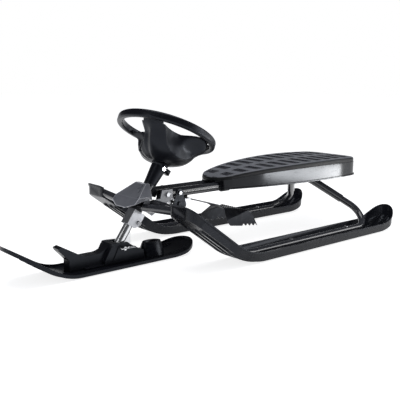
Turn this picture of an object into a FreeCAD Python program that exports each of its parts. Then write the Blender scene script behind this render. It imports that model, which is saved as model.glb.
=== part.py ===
import FreeCAD, Part
import math
import os
from FreeCAD import Placement, Rotation
from FreeCAD import Vector as V

# Steering sled: a bent tube frame on two rear skis, a steered front ski, a long seat and a foot brake.
# Millimetres and degrees. +X is forward, +Y left, +Z up. The origin is on the ground under the middle.

# Overall
LENGTH = 1280.0  # rear ski tails to front ski tip
TRACK = 394.0  # between the centre lines of the rear skis
SEAT_GAP = 0.2  # flat faces of neighbouring pieces
RUNNING_FIT = 0.06  # radial, turning shafts in their bores
SLIP_FIT = 0.15  # radial, fixed tubes and pins in their bores
RUN_GAP = 0.4  # between faces that slide past each other
BOLT_D = 6.0
BOLT_HEAD_D = 13.0
BOLT_HEAD = 4.5
SCREW_HEAD_D = 12.0
SCREW_HEAD = 3.0

# Rear skis
SKI_WIDTH = 96.0
SKI_NOSE_X = 262.0
SKI_NOSE_ROUND = 22.0  # corners of the square toe cup
SKI_FRONT_BEND_X = -6.0
SKI_FRONT_RADIUS = 200.0
SKI_FRONT_ANGLE = 36.0
SKI_TAIL_RISE = 95.0  # length of the upturned tail
SKI_TAIL_RADIUS = 140.0
SKI_TAIL_ANGLE = 42.0
SKI_FLOOR = 3.0
SKI_WALL = 3.0
SKI_WALL_HEIGHT = 25.0
SKI_LIP = 2.5
SKI_LIP_HEIGHT = 5.0
KEEL_DEPTH = 4.0
KEEL_WIDTH = 9.0
KEEL_PITCH = 27.0
TAIL_RIB_WIDTH = 4.0
TAIL_RIB_HEIGHT = 4.0
TAIL_RIB_PITCH = 30.0
SKI_SCREW_INS = (220.0, 480.0)  # from the rear end to the screws
TUBE_NOTCH = 52.0  # length of the gap in a rear ski's inner wall where the tube crosses it

# Frame tubes
TOP_TUBE_D = 26.0
RUNNER_TUBE_D = 22.0
TUBE_WALL = 1.8
TOP_TUBE_Z = 179.0
TOP_TUBE_SPACING = 50.0
TOP_TUBE_FRONT_X = 194.0
LEG_TOP_IN = 235.0  # from the rear end to the corner where a top tube turns out and down
LEG_FOOT_IN = 42.0  # from the rear end to the leg's lower corner
LEG_JOINT = 0.5  # share of the leg that the top tube makes
LEG_SPIGOT = 45.0
KNEE_RADIUS = 90.0
HEEL_RADIUS = 55.0
TOE_X = 202.0  # where the runner tube turns inwards off the ski
TOE_RADIUS = 48.0
ELBOW_RADIUS = 60.0
HEAD_END_X = 226.0  # runner tube's end at the head plate
HEAD_END_Z = 160.0
ELBOW_OUT = 54.0  # straight run out of the head plate
ARM_S = 180.0  # inner end of the front arm, up the column and forward of it
ARM_Q = 8.0
ARM_NOSE_IN = 16.0  # from the ski's nose back to the arm's outer end
ARM_END_IN = 9.0  # from the ski's middle to that end
ARM_LIFT = 4.0  # above a tube that lies on the cup's floor

# Steering column and head
COLUMN_LEAN = 34.8
COLUMN_FOOT_X = 350.0
COLUMN_D = 25.0
COLUMN_WALL = 2.0
COLUMN_LOW = 42.0
COLUMN_HIGH = 332.0
HEAD_LOW = 172.0
HEAD_HIGH = 246.0
HEAD_D = 34.0
BUSH_D = 30.0
BUSH_FLANGE = 4.0
BUSH_DEPTH = 22.0
WEB_THICK = 4.0
WEB_FRONT = 15.0
WEB_REAR = -19.0
PLATE_THICK = 3.0
PLATE_LONG = 34.0  # overlap of a head plate and a top tube
PLATE_REAR = -26.0
PLATE_FRONT = 16.0
PLATE_HIGH = 204.0
PLATE_PEAK = 20.0  # how much higher the plate's rear corner is
GUSSET_LONG = 30.0
GUSSET_HIGH = 20.0
GUSSET_WIDE = 22.0
COVER_LOW = 150.0
COVER_FOLD = 205.0  # where the cover reaches its full width
COVER_HIGH = 246.0
COVER_WALL = 2.5
COVER_TOP_WIDE = 40.0
COVER_TOP_REAR = 16.0
COVER_REAR = 3.5
COVER_NOSE_HIGH = 24.0
COVER_NOSE_FOLD = 39.0
COVER_NOSE_LOW = 45.0
COVER_FRONT_Z = 162.0  # lower edge of the cover's front and of its sides
COVER_SIDE_Z = 173.0
COVER_EDGE_FLAT = 18.0  # half width of the level part of that edge

# Fork bracket and pitch stop
BRACKET_SHEET = 2.5
BRACKET_LOW = 122.0
BRACKET_REAR = -24.0
BRACKET_BOLT_S = 140.0
BRACKET_BOLT_Q = -17.0
STOP_THICK = 6.0
STOP_TOP = 112.0
STOP_LOW = 74.0
STOP_REAR = -31.0

# Steering wheel
WHEEL_CENTRE_X = 149.0
WHEEL_CENTRE_Z = 343.5
WHEEL_PITCH = 26.3
WHEEL_ROLL = 6.4  # the wheel is clamped on the column turned to the right
WHEEL_D = 280.0
RIM_HEIGHT = 22.0
RIM_THICK = 16.0
RIM_ROUND = 6.0
RIM_LAP = 3.0  # how far the bowl reaches into the rim
# Radius and depth of the bowl's outside
BOWL_LINE = ((108.0, 20.0), (96.0, 42.0), (72.0, 72.0), (40.0, 86.0))
BOWL_DEPTH = 88.0
BOWL_WALL = 4.0
WINDOW_IN = 64.0  # from the wheel's middle to the panel behind a grip window
WINDOW_LEAN = 6.0
WINDOW_R = 170.0  # hollow of that panel
PANEL_TOP = 12.0  # below the rim's middle
FIRST_WINDOW = -29.0
WINDOW_COUNT = 3
HUB_D = 34.0
HUB_TOP_D = 46.0
HUB_FLARE_S = 314.0
HUB_CAP = 4.0
WHEEL_SCREW_S = 302.0
LUG_SIZE = 15.0

# Front ski
FRONT_SKI_WIDTH = 122.0
FRONT_SKI_TAIL_X = 70.0
FRONT_SKI_TAIL_BEND_X = 165.0
FRONT_SKI_TAIL_RADIUS = 180.0
FRONT_SKI_TAIL_ANGLE = 21.0
FRONT_SKI_BEND_X = 458.0
FRONT_SKI_RADIUS = 150.0
FRONT_SKI_ANGLE = 32.0
FRONT_SKI_FLOOR = 4.0
FRONT_SKI_RIM = 5.0
FRONT_SKI_RIM_WIDTH = 4.5
FRONT_KEEL_DEPTH = 3.0
FRONT_KEEL_WIDTH = 10.0
FRONT_KEEL_PITCH = 34.0
BOSS_X = 203.0
BOSS_LONG = 74.0
BOSS_WIDE = 70.0
BOSS_HEIGHT = 38.0
BOSS_TOP_LONG = 58.0
BOSS_TOP_WIDE = 34.0
BOSS_RIM = 4.5
BOSS_DIP = 5.0
DECK_RIB = 2.5
DECK_RIB_WIDE = 3.0
DECK_RIB_YS = (28.0, 36.0, 44.0)

# Ski socket and its pin
PIN_S = 60.0
PIN_D = 10.0
SOCKET_WIDTH = 50.0
SOCKET_SLOT = 27.0
SOCKET_REAR = 73.0  # behind the pin
SOCKET_TOP = 64.0
SOCKET_LOW = 20.0
SOCKET_FLANGE = 5.0
CROWN_FRONT = 33.0  # this and the next ones are forward of the pin
CROWN_REAR = 19.0
CHEEK_FOOT = 58.0
RIDGE = 78.0
HORN_REAR = 112.0
HORN_FOOT = 154.0
HORN_TIP = 184.0
RIDGE_Z = 42.0
HORN_NECK_Z = 38.0
HORN_TIP_Z = 77.0
HORN_BLUNT = 11.0  # slanted end of the horn
SWEEP_SAG = 7.0  # hollow of the arc between ridge and crown
FIN_WIDTH = 30.0
SOCKET_RIB = 2.5
SOCKET_RIB_WIDE = 4.0
SOCKET_RIB_TOPS = ((33.0, 58.0), (11.0, 53.0))  # x from the pin, and z
SOCKET_RIB_FEET = ((55.0, 19.0), (31.0, 14.0))
PIN_HEAD_D = 17.0
PIN_HEAD = 5.0
PIN_END = 14.0  # free end for the clip
CLIP_WIRE_D = 2.6
CLIP_LEG = 34.0  # from the pin to the clip's bow
CLIP_BOW = 13.0
CLIP_TIP = 9.0
CLIP_BEND = 5.5

# Seat
SEAT_FRONT_X = -2.0
SEAT_REAR_IN = 42.0  # from the rear end to the seat
SEAT_FRONT_WIDTH = 132.0
SEAT_WIDTH = 236.0
SEAT_WAIST_X = -330.0  # where the seat reaches its full width
SEAT_BOTTOM = 173.0
SEAT_FRONT_TOP = 198.0
SEAT_TOP = 220.0
SEAT_CORNER = 70.0
SEAT_WALL = 3.0
SEAT_DECK = 4.0
SEAT_FLANGE = 3.0
SEAT_FLANGE_HEIGHT = 4.0
PAD_MARGIN = 1.0
PAD_THICK = 15.5
PAD_FRONT_THICK = 9.0
PAD_ROUND = 6.5
BAR_PITCH = 49.0
BAR_WIDTH = 27.0
BAR_DEPTH = 2.2
BAR_BORDER = 16.0  # from the pad's edge to the bars
SPINE_WIDTH = 26.0
SADDLE_FRONT_X = -48.0
SADDLE_REAR_IN = 75.0  # from the leg's upper corner to the rear saddle
SADDLE_LONG = 26.0
SADDLE_WALL = 4.0

# Foot brake
BRAKE_PIVOT_X = 134.0
BRAKE_PIVOT_Z = 148.0
BRAKE_PIN_D = 8.0
BRAKE_PIN_HEAD = 4.0
BRAKE_PIN_HEAD_D = 13.6
LUG_THICK = 3.0
LUG_TOP_R = 11.0
LUG_FOOT = 46.0
YOKE_SHEET = 2.5
YOKE_WIDTH = 66.0
YOKE_REAR_X = 88.0
YOKE_HIGH = 10.0
PEDAL_SHEET = 3.0
PEDAL_WIDTH = 120.0
PEDAL_ARM_WIDTH = 60.0
PEDAL_LAP = 30.0  # overlap of the pedal and the yoke's web
PEDAL_STEPS = ((-94.0, -5.0), (-134.0, -18.0), (-156.0, -23.0))  # x and z from the pivot
PEDAL_PAD = ((-180.0, -36.0), (-252.0, -48.0))
PEDAL_BEND_R = 30.0
CLAW_NOSE = (-163.0, -67.0)
CLAW_BACK = ((-262.0, -55.0), (-274.0, -70.0), (-292.0, -101.0))
CLAW_TOE = (-227.0, -93.0)
CLAW_BELLY = (-179.0, -86.0)
CLAW_TEETH = 4
TOOTH_HEIGHT = 8.0
BUMPER_D = 14.0
SPRING_WIRE_D = 2.4
SPRING_QUARTERS = 15  # quarter turns of the coil
SPRING_PITCH = 3.2
SPRING_LEG_TOP = 36.0
SPRING_LEG_BACK = 15.0

REAR_END = -LENGTH / 2
FRONT_END = LENGTH / 2
HALF_TRACK = TRACK / 2
HALF_SKI = SKI_WIDTH / 2
PLATE_IN = TOP_TUBE_SPACING / 2 + TOP_TUBE_D / 2 + SEAT_GAP
PLATE_OUT = PLATE_IN + PLATE_THICK
TUBE_LIFT = KEEL_DEPTH + SKI_FLOOR + SEAT_GAP + RUNNER_TUBE_D / 2
DECK_Z = FRONT_KEEL_DEPTH + FRONT_SKI_FLOOR
LEG_TOP = V(REAR_END + LEG_TOP_IN, TOP_TUBE_SPACING / 2, TOP_TUBE_Z)
LEG_FOOT = V(REAR_END + LEG_FOOT_IN, HALF_TRACK, TUBE_LIFT)
SEAT_REAR_X = REAR_END + SEAT_REAR_IN
BRAKE_PIVOT = V(BRAKE_PIVOT_X, 0, BRAKE_PIVOT_Z)
SKY = 420.0  # above everything, for upright cuts

os.makedirs("parts", exist_ok=True)


def save(name, shape):
    """Write one node and print what it holds."""
    shape.exportStep("parts/" + name + ".step")
    state = "valid" if shape.isValid() else "BAD"
    print(name, len(shape.Solids), "solid", round(shape.Volume), "mm3", state)


def box(low, high):
    """A box between two corners given as (x, y, z)."""
    size = [b - a for a, b in zip(low, high)]
    return Part.makeBox(size[0], size[1], size[2], V(*low))


def rod(start, end, radius):
    """A round bar between two points."""
    return Part.makeCylinder(radius, (end - start).Length, start, end - start)


def slab(points, y_low, y_high):
    """A plate cut to an outline of (x, z) points, square to Y."""
    ring = [V(x, y_low, z) for x, z in points]
    face = Part.Face(Part.makePolygon(ring + ring[:1]))
    return face.extrude(V(0, y_high - y_low, 0))


def fused(shapes):
    """One solid from several that touch."""
    return shapes[0].multiFuse(shapes[1:]).removeSplitter()


def mirrored(shape):
    """The same piece on the other side of the sled."""
    return shape.mirror(V(0, 0, 0), V(0, 1, 0))


def pair(shape):
    """A piece and its mirror image as one group."""
    return Part.makeCompound([shape, mirrored(shape)])


def rounded_path(points, radii):
    """Straight runs joined by tangent arcs, one radius for each inner point."""
    edges = []
    start = points[0]
    for before, corner, after, radius in zip(points, points[1:], points[2:], radii):
        back = (before - corner).normalize()
        ahead = (after - corner).normalize()
        half = back.getAngle(ahead) / 2
        reach = radius / math.tan(half)
        inward = (back + ahead).normalize()
        middle = corner + inward * (radius / math.sin(half) - radius)
        first = corner + back * reach
        last = corner + ahead * reach
        edges.append(Part.LineSegment(start, first).toShape())
        edges.append(Part.Arc(first, middle, last).toShape())
        start = last
    edges.append(Part.LineSegment(start, points[-1]).toShape())
    return Part.Wire(edges)


def swept(path, radius):
    """A round bar along a path."""
    edge = path.Edges[0]
    ring = Part.makeCircle(radius, edge.valueAt(edge.FirstParameter), edge.tangentAt(edge.FirstParameter))
    return path.makePipeShell([Part.Wire(ring)], True, False)


def tube(path, diameter, wall):
    """A hollow round tube along a path, open at both ends."""
    return swept(path, diameter / 2).cut(swept(path, diameter / 2 - wall))


def stadium(tail, nose, half):
    """An upright prism with straight sides and round ends."""
    back, front = tail + half, nose - half
    edges = [
        Part.LineSegment(V(back, -half, 0), V(front, -half, 0)),
        Part.Arc(V(front, -half, 0), V(nose, 0, 0), V(front, half, 0)),
        Part.LineSegment(V(front, half, 0), V(back, half, 0)),
        Part.Arc(V(back, half, 0), V(tail, 0, 0), V(back, -half, 0)),
    ]
    return upright(edges)


def square_nosed(tail, nose, half, corner):
    """An upright prism with straight sides, a round tail and a square nose with round corners."""
    back, front, flat = tail + half, nose - corner, half - corner
    slant = corner * math.sqrt(0.5)
    edges = [
        Part.Arc(V(back, half, 0), V(tail, 0, 0), V(back, -half, 0)),
        Part.LineSegment(V(back, -half, 0), V(front, -half, 0)),
        Part.Arc(V(front, -half, 0), V(front + slant, -flat - slant, 0), V(nose, -flat, 0)),
        Part.LineSegment(V(nose, -flat, 0), V(nose, flat, 0)),
        Part.Arc(V(nose, flat, 0), V(front + slant, flat + slant, 0), V(front, half, 0)),
        Part.LineSegment(V(front, half, 0), V(back, half, 0)),
    ]
    return upright(edges)


def upright(curves):
    """A prism from the ground to the sky on a closed run of curves."""
    return Part.Face(Part.Wire([c.toShape() for c in curves])).extrude(V(0, 0, SKY))


class Sole:
    """A ski's underside in side view: tail rise, flat run and front rise, joined by arcs."""

    def __init__(self, tail_x, tail_bend_x, tail_radius, tail_angle, bend_x, radius, angle, nose_x):
        self.tail_x, self.nose_x = tail_x, nose_x
        self.tail_bend_x, self.bend_x = tail_bend_x, bend_x
        self.tail_radius, self.radius = tail_radius, radius
        self.tail_angle, self.angle = math.radians(tail_angle), math.radians(angle)

    def arc(self, bend_x, radius, angle, sign, lift, share):
        """A point on one of the two arcs, lifted square to the sole."""
        turn = angle * share
        reach = radius - lift
        return V(bend_x + sign * reach * math.sin(turn), 0, radius - reach * math.cos(turn))

    def front(self, lift, share=1.0):
        return self.arc(self.bend_x, self.radius, self.angle, 1, lift, share)

    def rear(self, lift, share=1.0):
        return self.arc(self.tail_bend_x, self.tail_radius, self.tail_angle, -1, lift, share)

    def on_nose(self, x, lift):
        """The point of the lifted front rise at this x."""
        start = self.front(lift)
        return V(x, 0, start.z + (x - start.x) * math.tan(self.angle))

    def on_tail(self, x, lift):
        """The point of the lifted tail rise at this x."""
        start = self.rear(lift)
        return V(x, 0, start.z + (start.x - x) * math.tan(self.tail_angle))

    def edges(self, lift):
        """The sole line from past the tail to past the nose."""
        overrun = 60.0
        tail = self.on_tail(self.tail_x - overrun, lift)
        nose = self.on_nose(self.nose_x + overrun, lift)
        flat = [V(self.tail_bend_x, 0, lift), V(self.bend_x, 0, lift)]
        curves = [
            Part.LineSegment(tail, self.rear(lift)),
            Part.Arc(self.rear(lift), self.rear(lift, 0.5), flat[0]),
            Part.LineSegment(flat[0], flat[1]),
            Part.Arc(flat[1], self.front(lift, 0.5), self.front(lift)),
            Part.LineSegment(self.front(lift), nose),
        ]
        return [c.toShape() for c in curves], tail, nose

    def band(self, low, high, y_low, y_high):
        """The space between two lifts of the sole, as a solid between two y planes."""
        under, under_tail, under_nose = self.edges(low)
        over, over_tail, over_nose = self.edges(high)
        ends = [Part.LineSegment(under_nose, over_nose), Part.LineSegment(over_tail, under_tail)]
        edges = under + over + [e.toShape() for e in ends]
        face = Part.Face(Part.Wire(Part.__sortEdges__(edges)))
        face.translate(V(0, y_low, 0))
        return face.extrude(V(0, y_high - y_low, 0))


REAR_SOLE = Sole(REAR_END + SKI_LIP, REAR_END + SKI_TAIL_RISE, SKI_TAIL_RADIUS, SKI_TAIL_ANGLE,
                 SKI_FRONT_BEND_X, SKI_FRONT_RADIUS, SKI_FRONT_ANGLE, SKI_NOSE_X)
FRONT_SOLE = Sole(FRONT_SKI_TAIL_X, FRONT_SKI_TAIL_BEND_X, FRONT_SKI_TAIL_RADIUS, FRONT_SKI_TAIL_ANGLE,
                  FRONT_SKI_BEND_X, FRONT_SKI_RADIUS, FRONT_SKI_ANGLE, FRONT_END)
FRAME_BOLT_XS = (TOP_TUBE_FRONT_X - PLATE_LONG / 2, BRAKE_PIVOT.x)

COLUMN_FRAME = Placement(V(COLUMN_FOOT_X, 0, 0), Rotation(V(0, 1, 0), -COLUMN_LEAN))
WHEEL_LEAN = Rotation(V(0, 1, 0), -WHEEL_PITCH).multiply(Rotation(V(1, 0, 0), WHEEL_ROLL))
WHEEL_FRAME = Placement(V(WHEEL_CENTRE_X, 0, WHEEL_CENTRE_Z), WHEEL_LEAN)


def on_column(s, q=0.0, y=0.0):
    """A point by its distance up the column axis, its reach forward of it and its y."""
    return COLUMN_FRAME.multVec(V(q, y, s))


def along_column(shape):
    """Move a shape drawn upright on the origin onto the column axis."""
    shape.Placement = COLUMN_FRAME.multiply(shape.Placement)
    return shape


def runner_points():
    """Corners of the left runner tube: in the leg, heel, toe, elbow and head plate."""
    joint = LEG_TOP + (LEG_FOOT - LEG_TOP) * LEG_JOINT
    spigot = joint + (LEG_TOP - LEG_FOOT).normalize() * LEG_SPIGOT
    rise = math.tan(REAR_SOLE.angle / 2)
    bend = V(REAR_SOLE.bend_x + (REAR_SOLE.radius - TUBE_LIFT) * rise, HALF_TRACK, TUBE_LIFT)
    toe = REAR_SOLE.on_nose(TOE_X, TUBE_LIFT) + V(0, HALF_TRACK, 0)
    elbow = V(HEAD_END_X, PLATE_OUT + ELBOW_OUT, HEAD_END_Z)
    plate = V(HEAD_END_X, PLATE_OUT + SEAT_GAP, HEAD_END_Z)
    return [spigot, LEG_FOOT, bend, toe, elbow, plate], joint


def runner_path():
    points, _ = runner_points()
    return rounded_path(points, [HEEL_RADIUS, REAR_SOLE.radius - TUBE_LIFT, TOE_RADIUS, ELBOW_RADIUS])


def arm_path():
    """Axis of the left front arm: from the head plate straight out into the toe cup."""
    start = on_column(ARM_S, ARM_Q, PLATE_IN)
    end = REAR_SOLE.on_nose(SKI_NOSE_X - ARM_NOSE_IN, TUBE_LIFT) + V(0, HALF_TRACK - ARM_END_IN, ARM_LIFT)
    return Part.Wire(Part.LineSegment(start, end).toShape())


def front_arm():
    """Left front arm, cut off flat against the head plate."""
    outside = box((0, PLATE_OUT + SEAT_GAP, 0), (FRONT_END, TRACK, SKY))
    return tube(arm_path(), RUNNER_TUBE_D, TUBE_WALL).common(outside)


def rear_ski():
    """A moulded channel with a toe cup, an upturned tail, a lip all round and keels underneath."""
    sole = KEEL_DEPTH
    floor = sole + SKI_FLOOR
    top = sole + SKI_WALL_HEIGHT
    tail, nose = REAR_SOLE.tail_x, REAR_SOLE.nose_x

    def grown(by):
        return square_nosed(tail - by, nose + by, HALF_SKI + by, SKI_NOSE_ROUND + by)

    inside = grown(-SKI_WALL)
    reach = HALF_SKI + SKI_LIP + 1
    ski = REAR_SOLE.band(sole, top, -reach, reach).common(grown(0))
    ski = ski.fuse(REAR_SOLE.band(top - SKI_LIP_HEIGHT, top, -reach, reach).common(grown(SKI_LIP)))
    for k in (-1, 0, 1):
        centre = k * KEEL_PITCH
        keel = REAR_SOLE.band(0, sole + SKI_FLOOR / 2, centre - KEEL_WIDTH / 2, centre + KEEL_WIDTH / 2)
        span = box((REAR_SOLE.tail_bend_x - HALF_SKI, -reach, 0), (nose - HALF_SKI, reach, SKY))
        ski = ski.fuse(keel.common(span))
    ski = ski.cut(REAR_SOLE.band(floor, top + SKI_WALL_HEIGHT, -reach, reach).common(inside))
    scoop = inside.common(box((tail, -reach, 0), (REAR_SOLE.tail_bend_x, reach, SKY)))
    for centre in (-TAIL_RIB_PITCH / 2, TAIL_RIB_PITCH / 2):
        low, high = centre - TAIL_RIB_WIDTH / 2, centre + TAIL_RIB_WIDTH / 2
        ski = ski.fuse(REAR_SOLE.band(floor - 1, floor + TAIL_RIB_HEIGHT, low, high).common(scoop))
    ski.translate(V(0, HALF_TRACK, 0))
    cross_y = HALF_TRACK - HALF_SKI
    low = V(TOE_X - TUBE_NOTCH / 2, cross_y - SKI_LIP - 1, REAR_SOLE.on_nose(TOE_X, floor).z)
    notch = box(low, (TOE_X + TUBE_NOTCH / 2, cross_y + SKI_WALL + 1, SKY))
    room = RUNNER_TUBE_D / 2 + SEAT_GAP
    arm = swept(arm_path(), room)
    over_arm = arm.fuse(arm.translated(V(0, 0, SKI_WALL_HEIGHT / 2)))
    over_arm = over_arm.fuse(arm.translated(V(0, 0, SKI_WALL_HEIGHT)))
    return ski.cut(notch).cut(over_arm).cut(swept(runner_path(), room)).removeSplitter()


def top_tube():
    """Left top tube: from the head plate back under the seat, then out and down as the upper leg."""
    _, joint = runner_points()
    path = rounded_path([V(TOP_TUBE_FRONT_X, LEG_TOP.y, TOP_TUBE_Z), LEG_TOP, joint], [KNEE_RADIUS])
    wall = (TOP_TUBE_D - RUNNER_TUBE_D) / 2 - SLIP_FIT
    return without_bolt_holes(tube(path, TOP_TUBE_D, wall))


def head_plate():
    """Left side plate that ties the top tube, the head, the runner tube and the front arm together."""
    rear, low, high = TOP_TUBE_FRONT_X - PLATE_LONG, TOP_TUBE_Z - TOP_TUBE_D / 2, TOP_TUBE_Z + TOP_TUBE_D / 2
    outline = [(rear, low), (rear, high), (TOP_TUBE_FRONT_X, high)]
    corners = [(PLATE_HIGH + PLATE_PEAK, PLATE_REAR), (PLATE_HIGH, COVER_REAR - 1), (PLATE_HIGH, PLATE_FRONT),
               (HEAD_LOW, PLATE_FRONT), (HEAD_LOW, PLATE_REAR)]
    for s, q in corners:
        point = on_column(s, q)
        outline.append((point.x, point.z))
    return without_bolt_holes(slab(outline, PLATE_IN, PLATE_OUT))


def head():
    """Steering head: a short tube with two webs out to the side plates and a gusset between the top tubes."""
    body = Part.makeCylinder(HEAD_D / 2, HEAD_HIGH - HEAD_LOW, V(0, 0, HEAD_LOW))
    reach = PLATE_IN - SEAT_GAP
    webs = []
    for s in (HEAD_LOW + WEB_THICK, PLATE_HIGH - 2 * WEB_THICK):
        webs.append(box((WEB_REAR, -reach, s), (WEB_FRONT, reach, s + WEB_THICK)))
    gusset = box((-GUSSET_LONG, -GUSSET_WIDE / 2, HEAD_HIGH - GUSSET_HIGH), (0, GUSSET_WIDE / 2, HEAD_HIGH))
    bore = Part.makeCylinder(BUSH_D / 2 + SLIP_FIT, HEAD_HIGH - HEAD_LOW, V(0, 0, HEAD_LOW))
    return along_column(fused([body, gusset] + webs).cut(bore))


def bush(flange_low, sleeve_low):
    """A flanged plastic bush, drawn on the column axis."""
    flange = Part.makeCylinder(HEAD_D / 2, BUSH_FLANGE, V(0, 0, flange_low))
    sleeve = Part.makeCylinder(BUSH_D / 2, BUSH_DEPTH, V(0, 0, sleeve_low))
    low = min(flange_low, sleeve_low)
    bore = Part.makeCylinder(COLUMN_D / 2 + RUNNING_FIT, BUSH_DEPTH + BUSH_FLANGE, V(0, 0, low))
    return along_column(flange.fuse(sleeve).removeSplitter().cut(bore))


def cover_hull(inset, overrun):
    """The head cover as a solid on the column axis; the hollow is inset and runs out behind and below."""
    wide = PLATE_OUT + SEAT_GAP + COVER_WALL
    levels = [
        (COVER_LOW - overrun, COVER_REAR, COVER_NOSE_LOW, wide),
        (COVER_FOLD, COVER_REAR, COVER_NOSE_FOLD, wide),
        (COVER_HIGH - inset, COVER_TOP_REAR, COVER_NOSE_HIGH, COVER_TOP_WIDE / 2),
    ]
    sections = []
    for s, back, nose, half in levels:
        corners = [(back - overrun, half - inset), (nose - inset, half - inset)]
        ring = [V(q, y, s) for q, y in corners] + [V(q, -y, s) for q, y in reversed(corners)]
        sections.append(Part.makePolygon(ring + ring[:1]))
    return Part.makeLoft(sections, True, True)


def head_cover():
    """Folded cover over the front of the steering head, open below and behind, with a raised lower edge."""
    cover = cover_hull(0, 0).cut(cover_hull(COVER_WALL, COVER_NOSE_LOW))
    hub_room = Part.makeCylinder(HEAD_D / 2 + 1, HEAD_D, V(0, 0, COVER_HIGH - HEAD_D / 2))
    cover = along_column(cover.cut(hub_room))
    side = PLATE_OUT + SEAT_GAP + COVER_WALL
    edge = [(2 * side, 0), (2 * side, COVER_SIDE_Z), (side, COVER_SIDE_Z), (COVER_EDGE_FLAT, COVER_FRONT_Z)]
    ring = [V(0, y, z) for y, z in edge] + [V(0, -y, z) for y, z in reversed(edge)]
    below = Part.Face(Part.makePolygon(ring + ring[:1])).extrude(V(FRONT_END, 0, 0))
    return cover.cut(below)


def steering_column():
    """The steering tube from the ski pin up into the wheel hub, with two cross holes."""
    outer = Part.makeCylinder(COLUMN_D / 2, COLUMN_HIGH - COLUMN_LOW, V(0, 0, COLUMN_LOW))
    inner = Part.makeCylinder(COLUMN_D / 2 - COLUMN_WALL, COLUMN_HIGH - COLUMN_LOW, V(0, 0, COLUMN_LOW))
    hole = rod(V(0, -COLUMN_D, PIN_S), V(0, COLUMN_D, PIN_S), PIN_D / 2 + RUNNING_FIT)
    screw = bolt_hole(wheel_screw_centre(), COLUMN_D)
    return along_column(outer.cut(inner).cut(hole).cut(screw))


def fork_bracket():
    """Folded plated bracket round the column under the head."""
    half_in = COLUMN_D / 2 + SLIP_FIT
    half_out = half_in + BRACKET_SHEET
    high = HEAD_LOW - BUSH_FLANGE - RUN_GAP
    cheek = [
        (BRACKET_REAR, high),
        (half_out, high),
        (half_out, BRACKET_LOW),
        (-half_in, BRACKET_LOW),
        (BRACKET_REAR, BRACKET_BOLT_S - BOLT_HEAD_D / 2),
    ]
    shell = slab(cheek, -half_out, half_out)
    hollow = box((BRACKET_REAR - 1, -half_in, BRACKET_LOW - 1), (half_in, half_in, high - BRACKET_SHEET))
    bore = Part.makeCylinder(half_in, high, V(0, 0, 0))
    hole = bolt_hole(V(BRACKET_BOLT_Q, 0, BRACKET_BOLT_S), HEAD_D)
    return along_column(shell.cut(hollow).cut(bore).cut(hole))


def bracket_bolt():
    """Cross bolt behind the column."""
    seat = COLUMN_D / 2 + SLIP_FIT + BRACKET_SHEET + SEAT_GAP
    return along_column(cross_bolt(V(BRACKET_BOLT_Q, 0, BRACKET_BOLT_S), seat))


def hexagon(centre, y_low, y_high, diameter):
    """A hexagon head square to Y, sized across its corners."""
    turns = [math.radians(60 * k) for k in range(6)]
    ring = [(centre.x + diameter / 2 * math.cos(t), centre.z + diameter / 2 * math.sin(t)) for t in turns]
    return slab(ring, y_low, y_high)


def cross_bolt(centre, half):
    """A bolt along Y with a hexagon at each end; half is the reach from the middle to a head."""
    shank = rod(centre - V(0, half, 0), centre + V(0, half, 0), BOLT_D / 2)
    left = hexagon(centre, half, half + BOLT_HEAD, BOLT_HEAD_D)
    right = hexagon(centre, -half - BOLT_HEAD, -half, BOLT_HEAD_D)
    return fused([shank, left, right])


def bolt_hole(centre, half):
    """The clearance hole for a cross bolt."""
    return rod(centre - V(0, half, 0), centre + V(0, half, 0), BOLT_D / 2 + SLIP_FIT)


def without_bolt_holes(shape):
    """A frame piece with the holes for the frame bolts drilled through it."""
    for x in FRAME_BOLT_XS:
        shape = shape.cut(bolt_hole(V(x, 0, TOP_TUBE_Z), 2 * PLATE_OUT))
    return shape


def pitch_stop():
    """Gusset on the back of the column that limits how far the ski tips."""
    touch = -COLUMN_D / 2 - SEAT_GAP
    shoulder = (STOP_TOP + 2 * STOP_LOW) / 3
    outline = [(touch, STOP_TOP), (STOP_REAR, shoulder), (STOP_REAR, STOP_LOW), (touch, STOP_LOW)]
    return along_column(slab(outline, -STOP_THICK / 2, STOP_THICK / 2))


def bowl(shrink, top):
    """The wheel's bowl as a solid turned about the wheel axis; shrink thins it for the hollow."""
    radius = WHEEL_D / 2 - RIM_THICK + RIM_LAP
    line = [V(radius, 0, 0)] + [V(r, 0, -depth) for r, depth in BOWL_LINE] + [V(0, 0, -BOWL_DEPTH)]
    points = [V(radius - shrink, 0, top)]
    for before, point, after in zip(line, line[1:], line[2:]):
        along = (after - before).normalize()
        points.append(point + V(along.z, 0, -along.x) * shrink)
    points.append(V(0, 0, shrink - BOWL_DEPTH))
    side = Part.BSplineCurve()
    side.interpolate(Points=points, InitialTangent=V(-1, 0, -1), FinalTangent=V(-1, 0, 0))
    middle = V(0, 0, top)
    edges = [side, Part.LineSegment(points[-1], middle), Part.LineSegment(middle, points[0])]
    face = Part.Face(Part.Wire([e.toShape() for e in edges]))
    return face.revolve(V(0, 0, 0), V(0, 0, 1), 360)


def scoop(angle, grow):
    """Cutter for one grip window: a leaning cylinder that leaves a hollow panel under the rim."""
    lean = math.radians(WINDOW_LEAN)
    down = V(math.sin(lean), 0, -math.cos(lean))
    start = V(WINDOW_IN + WINDOW_R, 0, 0) - down * (2 * RIM_HEIGHT)
    cutter = Part.makeCylinder(WINDOW_R + grow, WHEEL_D, start, down)
    cutter.rotate(V(0, 0, 0), V(0, 0, 1), angle)
    return cutter


def rim():
    """The wheel's rim: a rounded band turned about the wheel axis."""
    outer = Part.makeCylinder(WHEEL_D / 2, RIM_HEIGHT, V(0, 0, -RIM_HEIGHT / 2))
    inner = Part.makeCylinder(WHEEL_D / 2 - RIM_THICK, RIM_HEIGHT, V(0, 0, -RIM_HEIGHT / 2))
    band = outer.cut(inner)
    band = band.makeFillet(RIM_ROUND, [e for e in band.Edges if len(e.Vertexes) == 1])
    band.Placement = WHEEL_FRAME
    return band


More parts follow.
